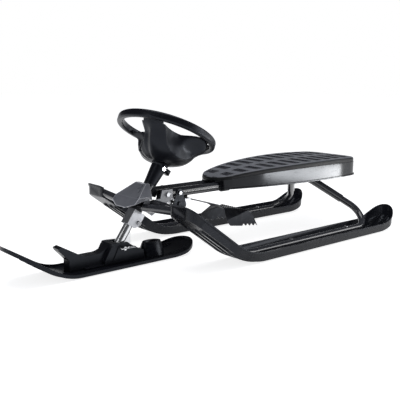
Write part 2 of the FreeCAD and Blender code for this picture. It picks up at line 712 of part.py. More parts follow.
def steering_wheel():
    """Rim, bowl with three scooped grip windows, and hub, in one moulding."""
    outside, hollow = bowl(0, 0), bowl(BOWL_WALL, RIM_LAP)
    angles = [FIRST_WINDOW + k * 360 / WINDOW_COUNT for k in range(WINDOW_COUNT)]
    for angle in angles:
        outside = outside.cut(scoop(angle, 0))
        hollow = hollow.cut(scoop(angle, BOWL_WALL))
    shell = outside.cut(hollow)
    above = box((-WHEEL_D, -WHEEL_D, -PANEL_TOP), (WHEEL_D, WHEEL_D, WHEEL_D))
    for angle in angles:
        shell = shell.cut(scoop(angle, BOWL_WALL + 1).common(above))
    shell.Placement = WHEEL_FRAME
    low, high = HEAD_HIGH + BUSH_FLANGE + RUN_GAP, COLUMN_HIGH + HUB_CAP
    neck = Part.makeCone(HUB_D / 2, HUB_TOP_D / 2, HUB_FLARE_S - low, V(0, 0, low))
    cap = Part.makeCylinder(HUB_TOP_D / 2, high - HUB_FLARE_S, V(0, 0, HUB_FLARE_S))
    lug_rear = -HUB_TOP_D / 2 - LUG_SIZE
    lug = box((lug_rear, -LUG_SIZE / 2, HUB_FLARE_S - LUG_SIZE), (0, LUG_SIZE / 2, HUB_FLARE_S))
    bore = Part.makeCylinder(COLUMN_D / 2 + SLIP_FIT, COLUMN_HIGH + SEAT_GAP - low, V(0, 0, low))
    hub = along_column(fused([neck, cap, lug]))
    screw = bolt_hole(wheel_screw_centre(), HUB_TOP_D)
    return fused([rim(), shell, hub]).cut(along_column(bore)).cut(along_column(screw))


def wheel_screw_centre():
    """Middle of the hub's cross screw, drawn on the column axis."""
    return V(0, 0, WHEEL_SCREW_S)


def wheel_screw():
    """Screw across the hub and the column."""
    return along_column(cross_bolt(wheel_screw_centre(), HUB_TOP_D / 2 + SEAT_GAP))


def front_ski():
    """Front ski: thin deck with a raised rim, keels, ribs and an oval boss."""
    half = FRONT_SKI_WIDTH / 2
    tail, nose = FRONT_SOLE.tail_x, FRONT_SOLE.nose_x
    sole = FRONT_KEEL_DEPTH
    top = DECK_Z + FRONT_SKI_RIM
    edge = FRONT_SKI_RIM_WIDTH
    inside = stadium(tail + edge, nose - edge, half - edge)
    ski = FRONT_SOLE.band(sole, top, -half - 1, half + 1).common(stadium(tail, nose, half))
    ski = ski.cut(FRONT_SOLE.band(DECK_Z, top + SKI_WALL_HEIGHT, -half - 1, half + 1).common(inside))
    span = box((FRONT_SKI_TAIL_BEND_X, -half, 0), (nose - half, half, SKY))
    for k in (-1, 0, 1):
        centre = k * FRONT_KEEL_PITCH
        keel = FRONT_SOLE.band(0, sole + 1, centre - FRONT_KEEL_WIDTH / 2, centre + FRONT_KEEL_WIDTH / 2)
        ski = ski.fuse(keel.common(span))
    ribs_span = box((tail + half * 0.7, -half, 0), (BOSS_X, half, SKY))
    for y in DECK_RIB_YS:
        low, high = y - DECK_RIB_WIDE / 2, y + DECK_RIB_WIDE / 2
        rib = FRONT_SOLE.band(DECK_Z - 1, DECK_Z + DECK_RIB, low, high).common(ribs_span)
        ski = ski.fuse(rib).fuse(mirrored(rib))
    return fused([ski, oval_boss()])


def oval_boss():
    """Domed oval boss on the rear deck with a dip in its top."""
    def ring(length, width, z):
        return Part.Wire(Part.Ellipse(V(BOSS_X, 0, z), length / 2, width / 2).toShape())

    top = DECK_Z + BOSS_HEIGHT
    middle = ring(BOSS_LONG * 0.92, (BOSS_WIDE + BOSS_TOP_WIDE) / 2, DECK_Z + BOSS_HEIGHT * 0.55)
    rings = [ring(BOSS_LONG, BOSS_WIDE, DECK_Z - 1), middle, ring(BOSS_TOP_LONG, BOSS_TOP_WIDE, top)]
    dome = Part.makeLoft(rings, True)
    floor = ring(BOSS_TOP_LONG - 3 * BOSS_RIM, BOSS_TOP_WIDE - 3 * BOSS_RIM, top - BOSS_DIP)
    mouth = ring(BOSS_TOP_LONG - 2 * BOSS_RIM, BOSS_TOP_WIDE - 2 * BOSS_RIM, top)
    return dome.cut(Part.makeLoft([floor, mouth], True))


def ski_socket():
    """Tower on the ski deck: two ribbed cheeks, the column's slot and a swept fin with the tow horn."""
    pin = on_column(PIN_S)
    base = DECK_Z + SEAT_GAP

    def at(forward, z):
        return V(pin.x + forward, 0, z)

    def plate(curves, width):
        face = Part.Face(Part.Wire([c.toShape() for c in curves]))
        face.translate(V(0, -width / 2, 0))
        return face.extrude(V(0, width, 0))

    crown, crown_rear, ridge = at(CROWN_FRONT, SOCKET_TOP), at(CROWN_REAR, SOCKET_TOP), at(RIDGE, RIDGE_Z)
    chord = crown - ridge
    hollow = (crown + ridge) / 2 + V(-chord.z, 0, chord.x).normalize() * SWEEP_SAG
    tip = at(HORN_TIP, HORN_TIP_Z - HORN_BLUNT / 3)
    horn = [at(CROWN_REAR, base), at(HORN_FOOT, base), at(HORN_FOOT, HORN_NECK_Z),
            tip - V(HORN_BLUNT / 3, 0, HORN_BLUNT * 0.7), tip, tip + V(-HORN_BLUNT, 0, HORN_BLUNT / 3),
            at(HORN_REAR, RIDGE_Z), ridge]
    fin = [Part.LineSegment(a, b) for a, b in zip(horn, horn[1:])]
    fin += [Part.Arc(ridge, hollow, crown), Part.LineSegment(crown, crown_rear)]
    fin += [Part.LineSegment(crown_rear, horn[0])]
    shoulder = at(-PIN_HEAD_D, SOCKET_TOP - PIN_HEAD / 2)
    heel = at(PIN_HEAD - SOCKET_REAR, base + 1.5 * PIN_HEAD_D)
    back = at(-SOCKET_REAR, base)
    waist = (shoulder + heel) / 2 - V(0, 0, PIN_HEAD / 2)
    cheek = [
        Part.LineSegment(back, at(CHEEK_FOOT, base)),
        Part.LineSegment(at(CHEEK_FOOT, base), crown),
        Part.LineSegment(crown, crown_rear),
        Part.LineSegment(crown_rear, shoulder),
        Part.Arc(shoulder, waist, heel),
        Part.LineSegment(heel, back),
    ]
    half = SOCKET_WIDTH / 2
    flange = box((pin.x, -half, base), (pin.x + HORN_REAR, half, base + SOCKET_FLANGE))
    parts = [plate(fin, FIN_WIDTH), plate(cheek, SOCKET_WIDTH), flange]
    for (top_x, top_z), (foot_x, foot_z) in zip(SOCKET_RIB_TOPS, SOCKET_RIB_FEET):
        wide = SOCKET_RIB_WIDE / 2
        ring = [(top_x - wide, top_z), (top_x + wide, top_z), (foot_x + wide, foot_z), (foot_x - wide, foot_z)]
        parts.append(slab([(pin.x + x, z) for x, z in ring], -half - SOCKET_RIB, half + SOCKET_RIB))
    front, rear = COLUMN_D * 0.9, -COLUMN_D * 2.5
    reach = [(PIN_S - 24, front), (PIN_S + 40, front), (PIN_S + 60, rear)]
    reach += [(PIN_S, rear), (PIN_S - 26, -COLUMN_D)]
    ring = [on_column(s, q) for s, q in reach]
    slot = slab([(p.x, max(p.z, SOCKET_LOW)) for p in ring], -SOCKET_SLOT / 2, SOCKET_SLOT / 2)
    hole = rod(pin - V(0, SOCKET_WIDTH, 0), pin + V(0, SOCKET_WIDTH, 0), PIN_D / 2 + SLIP_FIT)
    deck = FRONT_SOLE.band(0, base, -SOCKET_WIDTH, SOCKET_WIDTH)
    return fused(parts).cut(slot).cut(hole).cut(deck).removeSplitter()


def ski_pin():
    """Headed pin through the socket and the column, with a cross hole for its clip."""
    pin = on_column(PIN_S)
    half = SOCKET_WIDTH / 2 + SEAT_GAP
    shank = rod(pin - V(0, half, 0), pin + V(0, half + PIN_END, 0), PIN_D / 2)
    head_disc = rod(pin - V(0, half + PIN_HEAD, 0), pin - V(0, half, 0), PIN_HEAD_D / 2)
    leg = pin + V(0, clip_y(), 0)
    hole = rod(leg - V(PIN_D, 0, 0), leg + V(PIN_D, 0, 0), CLIP_WIRE_D / 2 + SLIP_FIT)
    return shank.fuse(head_disc).removeSplitter().cut(hole)


def clip_y():
    """Where the clip's straight leg crosses the pin."""
    return SOCKET_WIDTH / 2 + SEAT_GAP + PIN_END * 0.3


def pin_clip():
    """Spring clip: a straight leg through the pin and a second leg that snaps over its end."""
    leg = on_column(PIN_S) + V(0, clip_y(), 0)
    over = PIN_END * 0.7 + CLIP_WIRE_D + RUN_GAP
    reach = [(CLIP_TIP, 0), (-CLIP_LEG, 0), (-CLIP_LEG, CLIP_BOW), (-CLIP_BOW, over * 0.7)]
    reach += [(0, over), (CLIP_BOW, CLIP_TIP)]
    points = [leg + V(x, y, 0) for x, y in reach]
    return swept(rounded_path(points, [CLIP_BEND] * 4), CLIP_WIRE_D / 2)


def seat_outline(margin, z):
    """The seat in plan: narrow round front, swelling sides, broad round rear."""
    front, rear = SEAT_FRONT_X - margin, SEAT_REAR_X + margin
    narrow, broad = SEAT_FRONT_WIDTH / 2 - margin, SEAT_WIDTH / 2 - margin
    half_way = (front + SEAT_WAIST_X) / 2 - 20

    def at(x, y):
        return V(x, y, z)

    def side(sign):
        line = Part.BSplineCurve()
        knots = [(front - narrow * 0.62, narrow), (half_way, narrow * 0.35 + broad * 0.65), (SEAT_WAIST_X, broad),
                 (rear + SEAT_CORNER, broad * 0.98)]
        line.interpolate([at(x, sign * y) for x, y in knots])
        corner = Part.BezierCurve()
        poles = [(rear + SEAT_CORNER * 0.12, broad * 0.95), (rear, broad * 0.8), (rear, broad * 0.3)]
        corner.setPoles([line.EndPoint] + [at(x, sign * y) for x, y in poles])
        return line, corner

    left, left_corner = side(1)
    right, right_corner = side(-1)
    back = Part.LineSegment(left_corner.EndPoint, right_corner.EndPoint)
    nose = Part.Arc(right.StartPoint, at(front, 0), left.StartPoint)
    edges = [c.toShape() for c in (left, left_corner, back, right_corner, right, nose)]
    return Part.Wire(Part.__sortEdges__(edges))


def seat_prism(margin, low, high):
    return Part.Face(seat_outline(margin, low)).extrude(V(0, 0, high - low))


def under_seat_top(lift, front_lift):
    """Everything under the seat's top line in side view, lifted by one height behind and another in front."""
    rise = SEAT_TOP - SEAT_FRONT_TOP
    heights = [(SEAT_FRONT_X + 20, -0.27), (SEAT_FRONT_X - 60, 0.32), (SEAT_FRONT_X - 200, 0.78),
               (SEAT_WAIST_X - 60, 1.0), (SEAT_REAR_X - 20, 0.82)]
    lifts = [lift * share + front_lift * (1 - share) for _, share in heights]
    points = [V(x, -SEAT_WIDTH, SEAT_FRONT_TOP + rise * share + up) for (x, share), up in zip(heights, lifts)]
    line = Part.BSplineCurve()
    line.interpolate(points)
    rear, front = [V(p.x, -SEAT_WIDTH, SEAT_BOTTOM - 20) for p in (points[-1], points[0])]
    ends = [(points[-1], rear), (rear, front), (front, points[0])]
    edges = [line.toShape()] + [Part.LineSegment(a, b).toShape() for a, b in ends]
    return Part.Face(Part.Wire(edges)).extrude(V(0, SEAT_WIDTH * 2, 0))


def seat_shell():
    """Glossy seat shell: a hollow tub turned upside down with a flange at its lower edge."""
    tub = seat_prism(SEAT_FLANGE, SEAT_BOTTOM, SKY).common(under_seat_top(0, 0))
    tub = tub.fuse(seat_prism(0, SEAT_BOTTOM, SEAT_BOTTOM + SEAT_FLANGE_HEIGHT))
    hollow = seat_prism(SEAT_FLANGE + SEAT_WALL, SEAT_BOTTOM - 1, SKY)
    hollow = hollow.common(under_seat_top(-SEAT_DECK, -SEAT_DECK))
    reach = (TOP_TUBE_SPACING + TOP_TUBE_D) / 2 + 2
    roof = TOP_TUBE_Z + TOP_TUBE_D / 2 + 1
    mouth = box((SEAT_FRONT_X - SEAT_FRONT_WIDTH, -reach, 0), (SEAT_FRONT_X + 1, reach, roof))
    return tub.cut(hollow).cut(mouth).removeSplitter()


def seat_pad():
    """Moulded top on the shell: round edge, a middle spine and two rows of sunk cross bars."""
    margin = SEAT_FLANGE + PAD_MARGIN
    block = seat_prism(margin, SEAT_BOTTOM, SKY).common(under_seat_top(PAD_THICK, PAD_FRONT_THICK))
    block = block.cut(under_seat_top(SEAT_GAP, SEAT_GAP))
    top = max(block.Faces, key=lambda face: face.CenterOfMass.z)
    block = block.makeFillet(PAD_ROUND, top.Edges)
    skin = block.cut(block.translated(V(0, 0, -BAR_DEPTH)))
    skin = skin.common(seat_prism(margin + BAR_BORDER, SEAT_BOTTOM, SKY))
    strips = []
    for k in range(int((SEAT_FRONT_X - SEAT_REAR_X) / BAR_PITCH) - 1):
        x = SEAT_FRONT_X - BAR_PITCH * (k + 1)
        strip = box((x - BAR_WIDTH / 2, SPINE_WIDTH / 2, SEAT_BOTTOM), (x + BAR_WIDTH / 2, SEAT_WIDTH, SKY))
        strips += [strip, mirrored(strip)]
    return block.cut(skin.common(Part.makeCompound(strips)))


def seat_saddle(x):
    """Saddle between the two top tubes and the seat deck, with a collar round each tube."""
    y = TOP_TUBE_SPACING / 2
    back, front = x - SADDLE_LONG / 2, x + SADDLE_LONG / 2
    bore = TOP_TUBE_D / 2 + SLIP_FIT
    collar = bore + SADDLE_WALL

    def along_tube(side, radius):
        return rod(V(back, side * y, TOP_TUBE_Z), V(front, side * y, TOP_TUBE_Z), radius)

    block = box((back, -y - collar, TOP_TUBE_Z), (front, y + collar, SKY))
    saddle = fused([block, along_tube(-1, collar), along_tube(1, collar)])
    drop = -SEAT_DECK - SEAT_GAP
    saddle = saddle.common(under_seat_top(drop, drop))
    return saddle.cut(along_tube(-1, bore)).cut(along_tube(1, bore)).removeSplitter()


def brake_lug():
    """Left hanger plate: bolted to the side of the top tube, it carries the brake pin."""
    x, z = BRAKE_PIVOT.x, BRAKE_PIVOT.z
    half = LUG_FOOT / 2
    foot = z - LUG_TOP_R
    outline = [(x - half, foot), (x + half, foot), (x + half, z), (x + LUG_TOP_R, TOP_TUBE_Z),
               (x - LUG_TOP_R, TOP_TUBE_Z), (x - half, z)]
    crown = rod(V(x, PLATE_IN, TOP_TUBE_Z), V(x, PLATE_IN + LUG_THICK, TOP_TUBE_Z), LUG_TOP_R)
    plate = slab(outline, PLATE_IN, PLATE_IN + LUG_THICK).fuse(crown).removeSplitter()
    hole = rod(V(x, 0, z), V(x, 2 * PLATE_IN, z), BRAKE_PIN_D / 2 + SLIP_FIT)
    return without_bolt_holes(plate.cut(hole))


def brake_pin():
    """Pivot pin through both hanger plates, with a head at each end."""
    x, z = BRAKE_PIVOT.x, BRAKE_PIVOT.z
    half = PLATE_IN + LUG_THICK + SEAT_GAP
    end = half + BRAKE_PIN_HEAD
    heads = [rod(V(x, side * half, z), V(x, side * end, z), BRAKE_PIN_HEAD_D / 2) for side in (-1, 1)]
    return fused([rod(V(x, -half, z), V(x, half, z), BRAKE_PIN_D / 2)] + heads)


def brake_yoke():
    """Plated yoke on the pin: two cheeks and the web that carries the pedal."""
    x, z = BRAKE_PIVOT.x, BRAKE_PIVOT.z
    half, eye = YOKE_WIDTH / 2, BRAKE_PIN_D / 2 + YOKE_HIGH / 2
    top = z + YOKE_HIGH
    cheek = [(x + eye, z - eye), (x + eye, z), (x, top), (YOKE_REAR_X, top), (YOKE_REAR_X, z - eye / 2),
             (x - eye, z - eye)]
    shell = slab(cheek, -half, half)
    inside = half - YOKE_SHEET
    under_web = box((YOKE_REAR_X - 1, -inside, z - 2 * eye), (x + 2 * eye, inside, top - YOKE_SHEET))
    before_web = box((x - YOKE_HIGH, -inside, z - 2 * eye), (x + 2 * eye, inside, SKY))
    hole = rod(V(x, -half - 1, z), V(x, half + 1, z), BRAKE_PIN_D / 2 + RUNNING_FIT)
    return shell.cut(under_web).cut(before_web).cut(hole)


def from_pivot(point):
    """A point of the brake by its x and z from the pivot."""
    return BRAKE_PIVOT + V(point[0], 0, point[1])


def pedal_line():
    """Side view of the pedal strip's top face, from the yoke's web back to the end of the pad."""
    web = V(YOKE_REAR_X, 0, BRAKE_PIVOT.z + YOKE_HIGH - YOKE_SHEET - SEAT_GAP)
    steps = [from_pivot(p) for p in PEDAL_STEPS + PEDAL_PAD]
    return [web + V(PEDAL_LAP, 0, 0), web - V(YOKE_SHEET, 0, 0)] + steps


def brake_pedal():
    """Stamped pedal: a stepped middle strip, two twisted wings and two toothed claws."""
    line = pedal_line()
    path = rounded_path(line, [PEDAL_BEND_R] * (len(line) - 2))
    under = path.copy()
    under.translate(V(0, 0, -PEDAL_SHEET))
    ends = [Part.LineSegment(p, p - V(0, 0, PEDAL_SHEET)).toShape() for p in (line[0], line[-1])]
    face = Part.Face(Part.Wire(Part.__sortEdges__(path.Edges + under.Edges + ends)))
    face.translate(V(0, -PEDAL_ARM_WIDTH / 2, 0))
    strip = face.extrude(V(0, PEDAL_ARM_WIDTH, 0))
    side = [pedal_wing(), brake_claw()]
    return fused([strip] + side + [mirrored(s) for s in side])


def pedal_wing():
    """Left wing: a twisted panel from the pad's edge out to the top of the claw."""
    inner_y, outer_y = V(0, PEDAL_ARM_WIDTH / 2 - 1, 0), V(0, PEDAL_WIDTH / 2, 0)
    inner = Part.LineSegment(from_pivot(PEDAL_PAD[0]) + inner_y, from_pivot(PEDAL_PAD[1]) + inner_y).toShape()
    outer = Part.LineSegment(from_pivot(CLAW_NOSE) + outer_y, from_pivot(PEDAL_PAD[1]) + outer_y).toShape()
    return Part.makeRuledSurface(inner, outer).extrude(V(0, 0, -PEDAL_SHEET))


def brake_claw():
    """Left claw: a fin under the edge of the pad with teeth along its lower edge."""
    outline = [from_pivot(p) for p in (CLAW_NOSE, PEDAL_PAD[1]) + CLAW_BACK[:-1]]
    heel, toe = from_pivot(CLAW_BACK[-1]), from_pivot(CLAW_TOE)
    step = (toe - heel) / CLAW_TEETH
    for k in range(CLAW_TEETH):
        point = heel + step * k
        outline += [point, point + step * 0.6 + V(0, 0, TOOTH_HEIGHT)]
    outline += [toe, from_pivot(CLAW_BELLY)]
    return slab([(p.x, p.z) for p in outline], PEDAL_WIDTH / 2 - PEDAL_SHEET, PEDAL_WIDTH / 2)


def brake_bumper():
    """Rubber stops on the yoke that meet the top tubes when the brake is up."""
    low = BRAKE_PIVOT.z + YOKE_HIGH + SEAT_GAP
    high = TOP_TUBE_Z - TOP_TUBE_D / 2 - RUN_GAP
    foot = V(YOKE_REAR_X + BUMPER_D, TOP_TUBE_SPACING / 2, low)
    return pair(Part.makeCylinder(BUMPER_D / 2, high - low, foot))


def biarc(start, heading, end, arriving):
    """Two tangent arcs between points with given directions."""
    chord = end - start
    both = heading + arriving
    a = 2 * (heading.dot(arriving) - 1)
    b = -2 * chord.dot(both)
    c = chord.dot(chord)
    reach = c / -b if abs(a) < 1e-9 else (-b - math.sqrt(b * b - 4 * a * c)) / (2 * a)
    first, last = start + heading * reach, end - arriving * reach
    joint = (first + last) / 2
    arcs = []
    for p, corner, q in ((start, first, joint), (joint, last, end)):
        weight = (q - p).Length / (2 * reach)
        middle = (p + corner * (2 * weight) + q) / (2 + 2 * weight)
        arcs.append(Part.Arc(p, middle, q).toShape())
    return arcs


def brake_spring():
    """Return spring: one unbroken wire wound round the pin, one leg up to the bolt and one under the web."""
    radius = BRAKE_PIN_D / 2 + SPRING_WIRE_D / 2 + RUN_GAP
    climb = SPRING_PITCH / 4

    def at(quarter):
        turn = (quarter - 1) * math.pi / 2
        along = (quarter - SPRING_QUARTERS / 2) * climb
        return BRAKE_PIVOT + V(radius * math.sin(turn), along, -radius * math.cos(turn))

    def heading(quarter):
        turn = (quarter - 1) * math.pi / 2
        return V(radius * math.cos(turn), climb * 2 / math.pi, radius * math.sin(turn)).normalize()

    first, last = at(0), at(SPRING_QUARTERS)
    edges = [Part.LineSegment(first - heading(0) * SPRING_LEG_TOP, first).toShape()]
    for k in range(SPRING_QUARTERS):
        edges += biarc(at(k), heading(k), at(k + 1), heading(k + 1))
    edges.append(Part.LineSegment(last, last + heading(SPRING_QUARTERS) * SPRING_LEG_BACK).toShape())
    points = [at(k / 8) for k in range(SPRING_QUARTERS * 8 + 1)]
    apart = min((p - q).Length for i, p in enumerate(points) for q in points[i + 16:])
    print("least gap between turns of the brake spring", round(apart - SPRING_WIRE_D, 2), "mm")
    return swept(Part.Wire(edges), SPRING_WIRE_D / 2)


def frame_bolts():
    """Bolts across the head plates, the hanger plates and both top tubes."""
    reaches = (PLATE_OUT + SEAT_GAP, PLATE_IN + LUG_THICK + SEAT_GAP)
    bolts = [cross_bolt(V(x, 0, TOP_TUBE_Z), half) for x, half in zip(FRAME_BOLT_XS, reaches)]
    return Part.makeCompound(bolts)


def ski_screws():
    """Dome-headed screws that hold the runner tubes down in the skis."""
    crest = TUBE_LIFT + RUNNER_TUBE_D / 2
    screws = []
    for x in [REAR_END + inset for inset in SKI_SCREW_INS]:
        head_disc = Part.makeCylinder(SCREW_HEAD_D / 2, SCREW_HEAD + 1, V(x, HALF_TRACK, crest - 1))
        axis = [V(x + along, HALF_TRACK, TUBE_LIFT) for along in (-SCREW_HEAD_D, SCREW_HEAD_D)]
        screws.append(head_disc.cut(rod(axis[0], axis[1], RUNNER_TUBE_D / 2 + RUN_GAP)))
    return Part.makeCompound(screws + [mirrored(s) for s in screws])


def build():
    left = {
        "rear_ski": rear_ski(),
        "top_tube": top_tube(),
        "runner_tube": tube(runner_path(), RUNNER_TUBE_D, TUBE_WALL),
        "front_arm": front_arm(),
        "head_plate": head_plate(),
        "brake_lug": brake_lug(),
    }
    for name, shape in left.items():
        save("left_" + name, shape)
        save("right_" + name, mirrored(shape))
    save("steering_head", head())
    save("upper_bush", bush(HEAD_HIGH, HEAD_HIGH - BUSH_DEPTH))
    save("lower_bush", bush(HEAD_LOW - BUSH_FLANGE, HEAD_LOW))
    save("head_cover", head_cover())
    save("steering_column", steering_column())
    save("fork_bracket", fork_bracket())
    save("bracket_bolt", bracket_bolt())
    save("pitch_stop", pitch_stop())
    save("steering_wheel", steering_wheel())
    save("wheel_screw", wheel_screw())
    save("front_ski", front_ski())
    save("ski_socket", ski_socket())
    save("ski_pin", ski_pin())
    save("pin_clip", pin_clip())
    save("seat_shell", seat_shell())
    save("seat_pad", seat_pad())
    save("front_saddle", seat_saddle(SADDLE_FRONT_X))
    save("rear_saddle", seat_saddle(LEG_TOP.x + SADDLE_REAR_IN))
    save("brake_pin", brake_pin())
    save("brake_yoke", brake_yoke())
    save("brake_pedal", brake_pedal())
    save("brake_bumper", brake_bumper())
    save("brake_spring", brake_spring())
    save("frame_bolts", frame_bolts())
    save("ski_screws", ski_screws())


build()
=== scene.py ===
# %% [markdown]
# # A steering sled, dressed for its picture
# The solids of the sled come from the CAD step and are loaded as a fixed frame. This lesson gives them
# their finishes: glossy moulded plastic, dark enamel, bright zinc and grained seat plastic. It also softens
# a few mouldings, and adds small repeated details that are easier to grow with nodes than to draw in CAD.

import math

import bmesh
import bpy
from mathutils import Matrix, Vector


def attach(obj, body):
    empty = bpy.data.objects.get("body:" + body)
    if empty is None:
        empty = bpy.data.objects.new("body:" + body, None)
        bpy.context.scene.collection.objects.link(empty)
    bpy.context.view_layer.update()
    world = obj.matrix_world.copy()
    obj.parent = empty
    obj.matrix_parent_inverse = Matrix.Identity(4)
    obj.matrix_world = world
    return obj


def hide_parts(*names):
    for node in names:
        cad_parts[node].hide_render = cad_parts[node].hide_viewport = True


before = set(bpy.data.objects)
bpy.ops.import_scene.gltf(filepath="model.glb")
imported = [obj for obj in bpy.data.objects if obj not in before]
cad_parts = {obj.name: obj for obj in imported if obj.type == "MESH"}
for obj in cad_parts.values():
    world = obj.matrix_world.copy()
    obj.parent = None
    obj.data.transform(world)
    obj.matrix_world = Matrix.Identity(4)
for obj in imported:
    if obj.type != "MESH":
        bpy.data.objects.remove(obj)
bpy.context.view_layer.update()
scene = bpy.context.scene
print("nodes:", len(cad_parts))

# %% [markdown]
# ## The camera
# The picture was taken from the sled's front left corner, a little above seat height, with a short
# telephoto view. A camera's matrix has its right, up and backward directions as columns. Building these
# from the place it stands and the point it looks at is surer than turning angles by hand, and a half
# degree of roll is added at the end.

# %% Camera
CAMERA_AT = Vector((1.2486, 1.4282, 0.5049))
LOOKS_AT = Vector((-0.020, -0.0519, 0.1260))
ROLL = math.radians(0.5)
FOCAL_PIXELS = 650.0
IMAGE_PIXELS = 400.0
SENSOR = 36.0

backward = (CAMERA_AT - LOOKS_AT).normalized()
level = Vector((0, 0, 1)).cross(backward).normalized()
upright = backward.cross(level)
right = level * math.cos(ROLL) + upright * math.sin(ROLL)
up = upright * math.cos(ROLL) - level * math.sin(ROLL)

lens_data = bpy.data.cameras.new("photo_camera")
lens_data.sensor_width = SENSOR
lens_data.lens = FOCAL_PIXELS / IMAGE_PIXELS * SENSOR
lens_data.clip_end = 50.0
camera = bpy.data.objects.new("photo_camera", lens_data)
scene.collection.objects.link(camera)
camera.matrix_world = Matrix.Translation(CAMERA_AT) @ Matrix((right, up, backward)).transposed().to_4x4()
scene.camera = camera
print("lens", round(lens_data.lens, 1), "mm")

# %% [markdown]
# ## Shader sums in plain Python
# A finish is a sum of small patterns. Wrapping a socket in a class that knows plus, minus and times lets
# the sums read as sums, and each operator adds the Math node that does it.

# %% Values
class Value:
    """A number or a field that changes over a surface."""

    def __init__(self, tree, socket):
        self.tree = tree
        self.socket = socket

    def sum(self, operation, first, second):
        return self.tree.add("ShaderNodeMath", {"operation": operation}, {0: first, 1: second})

    def __add__(self, other):
        return self.sum("ADD", self, other)

    def __sub__(self, other):
        return self.sum("SUBTRACT", self, other)

    def __mul__(self, other):
        return self.sum("MULTIPLY", self, other)

    def __truediv__(self, other):
        return self.sum("DIVIDE", self, other)

    def __gt__(self, other):
        return self.sum("GREATER_THAN", self, other)

    def __lt__(self, other):
        return self.sum("LESS_THAN", self, other)


print("sums ready:", Value.__name__)

# %% [markdown]
# ## Trees of nodes
# Every other node comes from one method that takes the node's type, its settings and its inputs. An input
# is a plain number, or a value that is linked. The same method serves the finishes, the studio and the
# small details.

# %% Trees
class Tree:
    """A node tree, and the one method that adds its nodes."""

    def __init__(self, node_tree):
        self.nodes = node_tree.nodes
        self.links = node_tree.links

    def plug(self, socket, value):
        if isinstance(value, Value):
            self.links.new(value.socket, socket)
        else:
            socket.default_value = value

    def add(self, kind, settings=None, sockets=None, output=0):
        node = self.nodes.new(kind)
        for name, value in (settings or {}).items():
            if name == "stops":
                ramp = node.color_ramp
                while len(ramp.elements) < len(value):
                    ramp.elements.new(1.0)
                for element, (position, colour) in zip(ramp.elements, value):
                    element.position = position
                    element.color = colour
            elif name == "captures":
                for kind_kept, label in value:
                    node.capture_items.new(kind_kept, label)
            else:
                setattr(node, name, value)
        for key, value in (sockets or {}).items():
            self.plug(node.inputs[key], value)
        if isinstance(output, tuple):
            return [Value(self, node.outputs[each]) for each in output]
        return Value(self, node.outputs[output])

    def ramp(self, value, low, high):
        """A value spread so that low becomes 0 and high becomes 1."""
        sockets = {"Value": value, "From Min": low, "From Max": high}
        return self.add("ShaderNodeMapRange", {}, sockets)

    def both(self, first, second):
        """The larger of two values."""
        return self.add("ShaderNodeMath", {"operation": "MAXIMUM"}, {0: first, 1: second})


print("trees ready:", Tree.__name__)

# %% [markdown]
# ## Finishes
# A finish is a material with one Principled shader. Its patterns are measured in metres on the object, so
# a grain has the same size on every piece. Small edges are rounded in the shading, because no real edge is
# perfectly sharp, and a highlight along an edge tells the eye how big a thing is.

# %% Finishes
MIX_FIRST, MIX_SECOND, MIX_RESULT = 6, 7, 2  # a Mix node's colour sockets, told apart by number
EDGE_RADIUS = 0.0012                         # every moulded or pressed edge looks this round, in metres
ALIKE, TURNED = 0.999, 0.975                 # likeness of two directions on a flat and at an edge


class Finish(Tree):
    """A material with a Principled shader."""

    def __init__(self, name, **constants):
        self.material = bpy.data.materials.new(name)
        self.material.use_nodes = True
        super().__init__(self.material.node_tree)
        self.shader = self.nodes["Principled BSDF"]
        for socket, value in constants.items():
            self.shader.inputs[socket.replace("_", " ")].default_value = value

    def place(self, scale=(1, 1, 1)):
        """Object coordinates, stretched where a pattern runs along one direction."""
        coords = self.add("ShaderNodeTexCoord", output="Object")
        return self.add("ShaderNodeMapping", {}, {"Vector": coords, "Scale": scale})

    def along(self, axis):
        """One object coordinate in metres."""
        coords = self.add("ShaderNodeTexCoord", output="Object")
        return self.add("ShaderNodeSeparateXYZ", {}, {"Vector": coords}, output=axis)

    def facing(self, axis):
        """One part of the surface's direction, 1 where it faces along the axis."""
        normal = self.add("ShaderNodeTexCoord", output="Normal")
        return self.add("ShaderNodeSeparateXYZ", {}, {"Vector": normal}, output=axis)

    def noise(self, size, detail=2.0, rough=0.5, stretch=(1, 1, 1)):
        """Soft random blotches of about this size in metres, from 0 to 1."""
        sockets = {"Vector": self.place(stretch), "Scale": 1.0 / size, "Detail": detail}
        return self.add("ShaderNodeTexNoise", {}, {**sockets, "Roughness": rough})

    def cells(self, size):
        """Distance to the nearest grain centre, for leather-like grain."""
        return self.add("ShaderNodeTexVoronoi", {}, {"Vector": self.place(), "Scale": 1.0 / size})

    def blend(self, share, first, second):
        """One colour giving way to another. A colour is three numbers or an earlier blend."""
        ends = [c if isinstance(c, Value) else c + (1.0,) for c in (first, second)]
        sockets = {"Factor": share, MIX_FIRST: ends[0], MIX_SECOND: ends[1]}
        return self.add("ShaderNodeMix", {"data_type": "RGBA"}, sockets, output=MIX_RESULT)

    def edges(self, radius):
        """1 along sharp edges, the mask for highlights painted there."""
        rounded = self.add("ShaderNodeBevel", {"samples": 8}, {"Radius": radius})
        flat = self.add("ShaderNodeNewGeometry", output="True Normal")
        sockets = {0: rounded, 1: flat}
        likeness = self.add("ShaderNodeVectorMath", {"operation": "DOT_PRODUCT"}, sockets, output="Value")
        return self.ramp(likeness, ALIKE, TURNED)

    def colour(self, value):
        self.plug(self.shader.inputs["Base Color"], value)

    def roughness(self, value):
        self.plug(self.shader.inputs["Roughness"], value)

    def bump(self, height, depth, strength=1.0):
        """Relief in the normals, with its depth in metres, on edges rounded by a small radius."""
        rounded = self.add("ShaderNodeBevel", {"samples": 4}, {"Radius": EDGE_RADIUS})
        sockets = {"Height": height, "Distance": depth, "Strength": strength, "Normal": rounded}
        self.plug(self.shader.inputs["Normal"], self.add("ShaderNodeBump", {}, sockets))


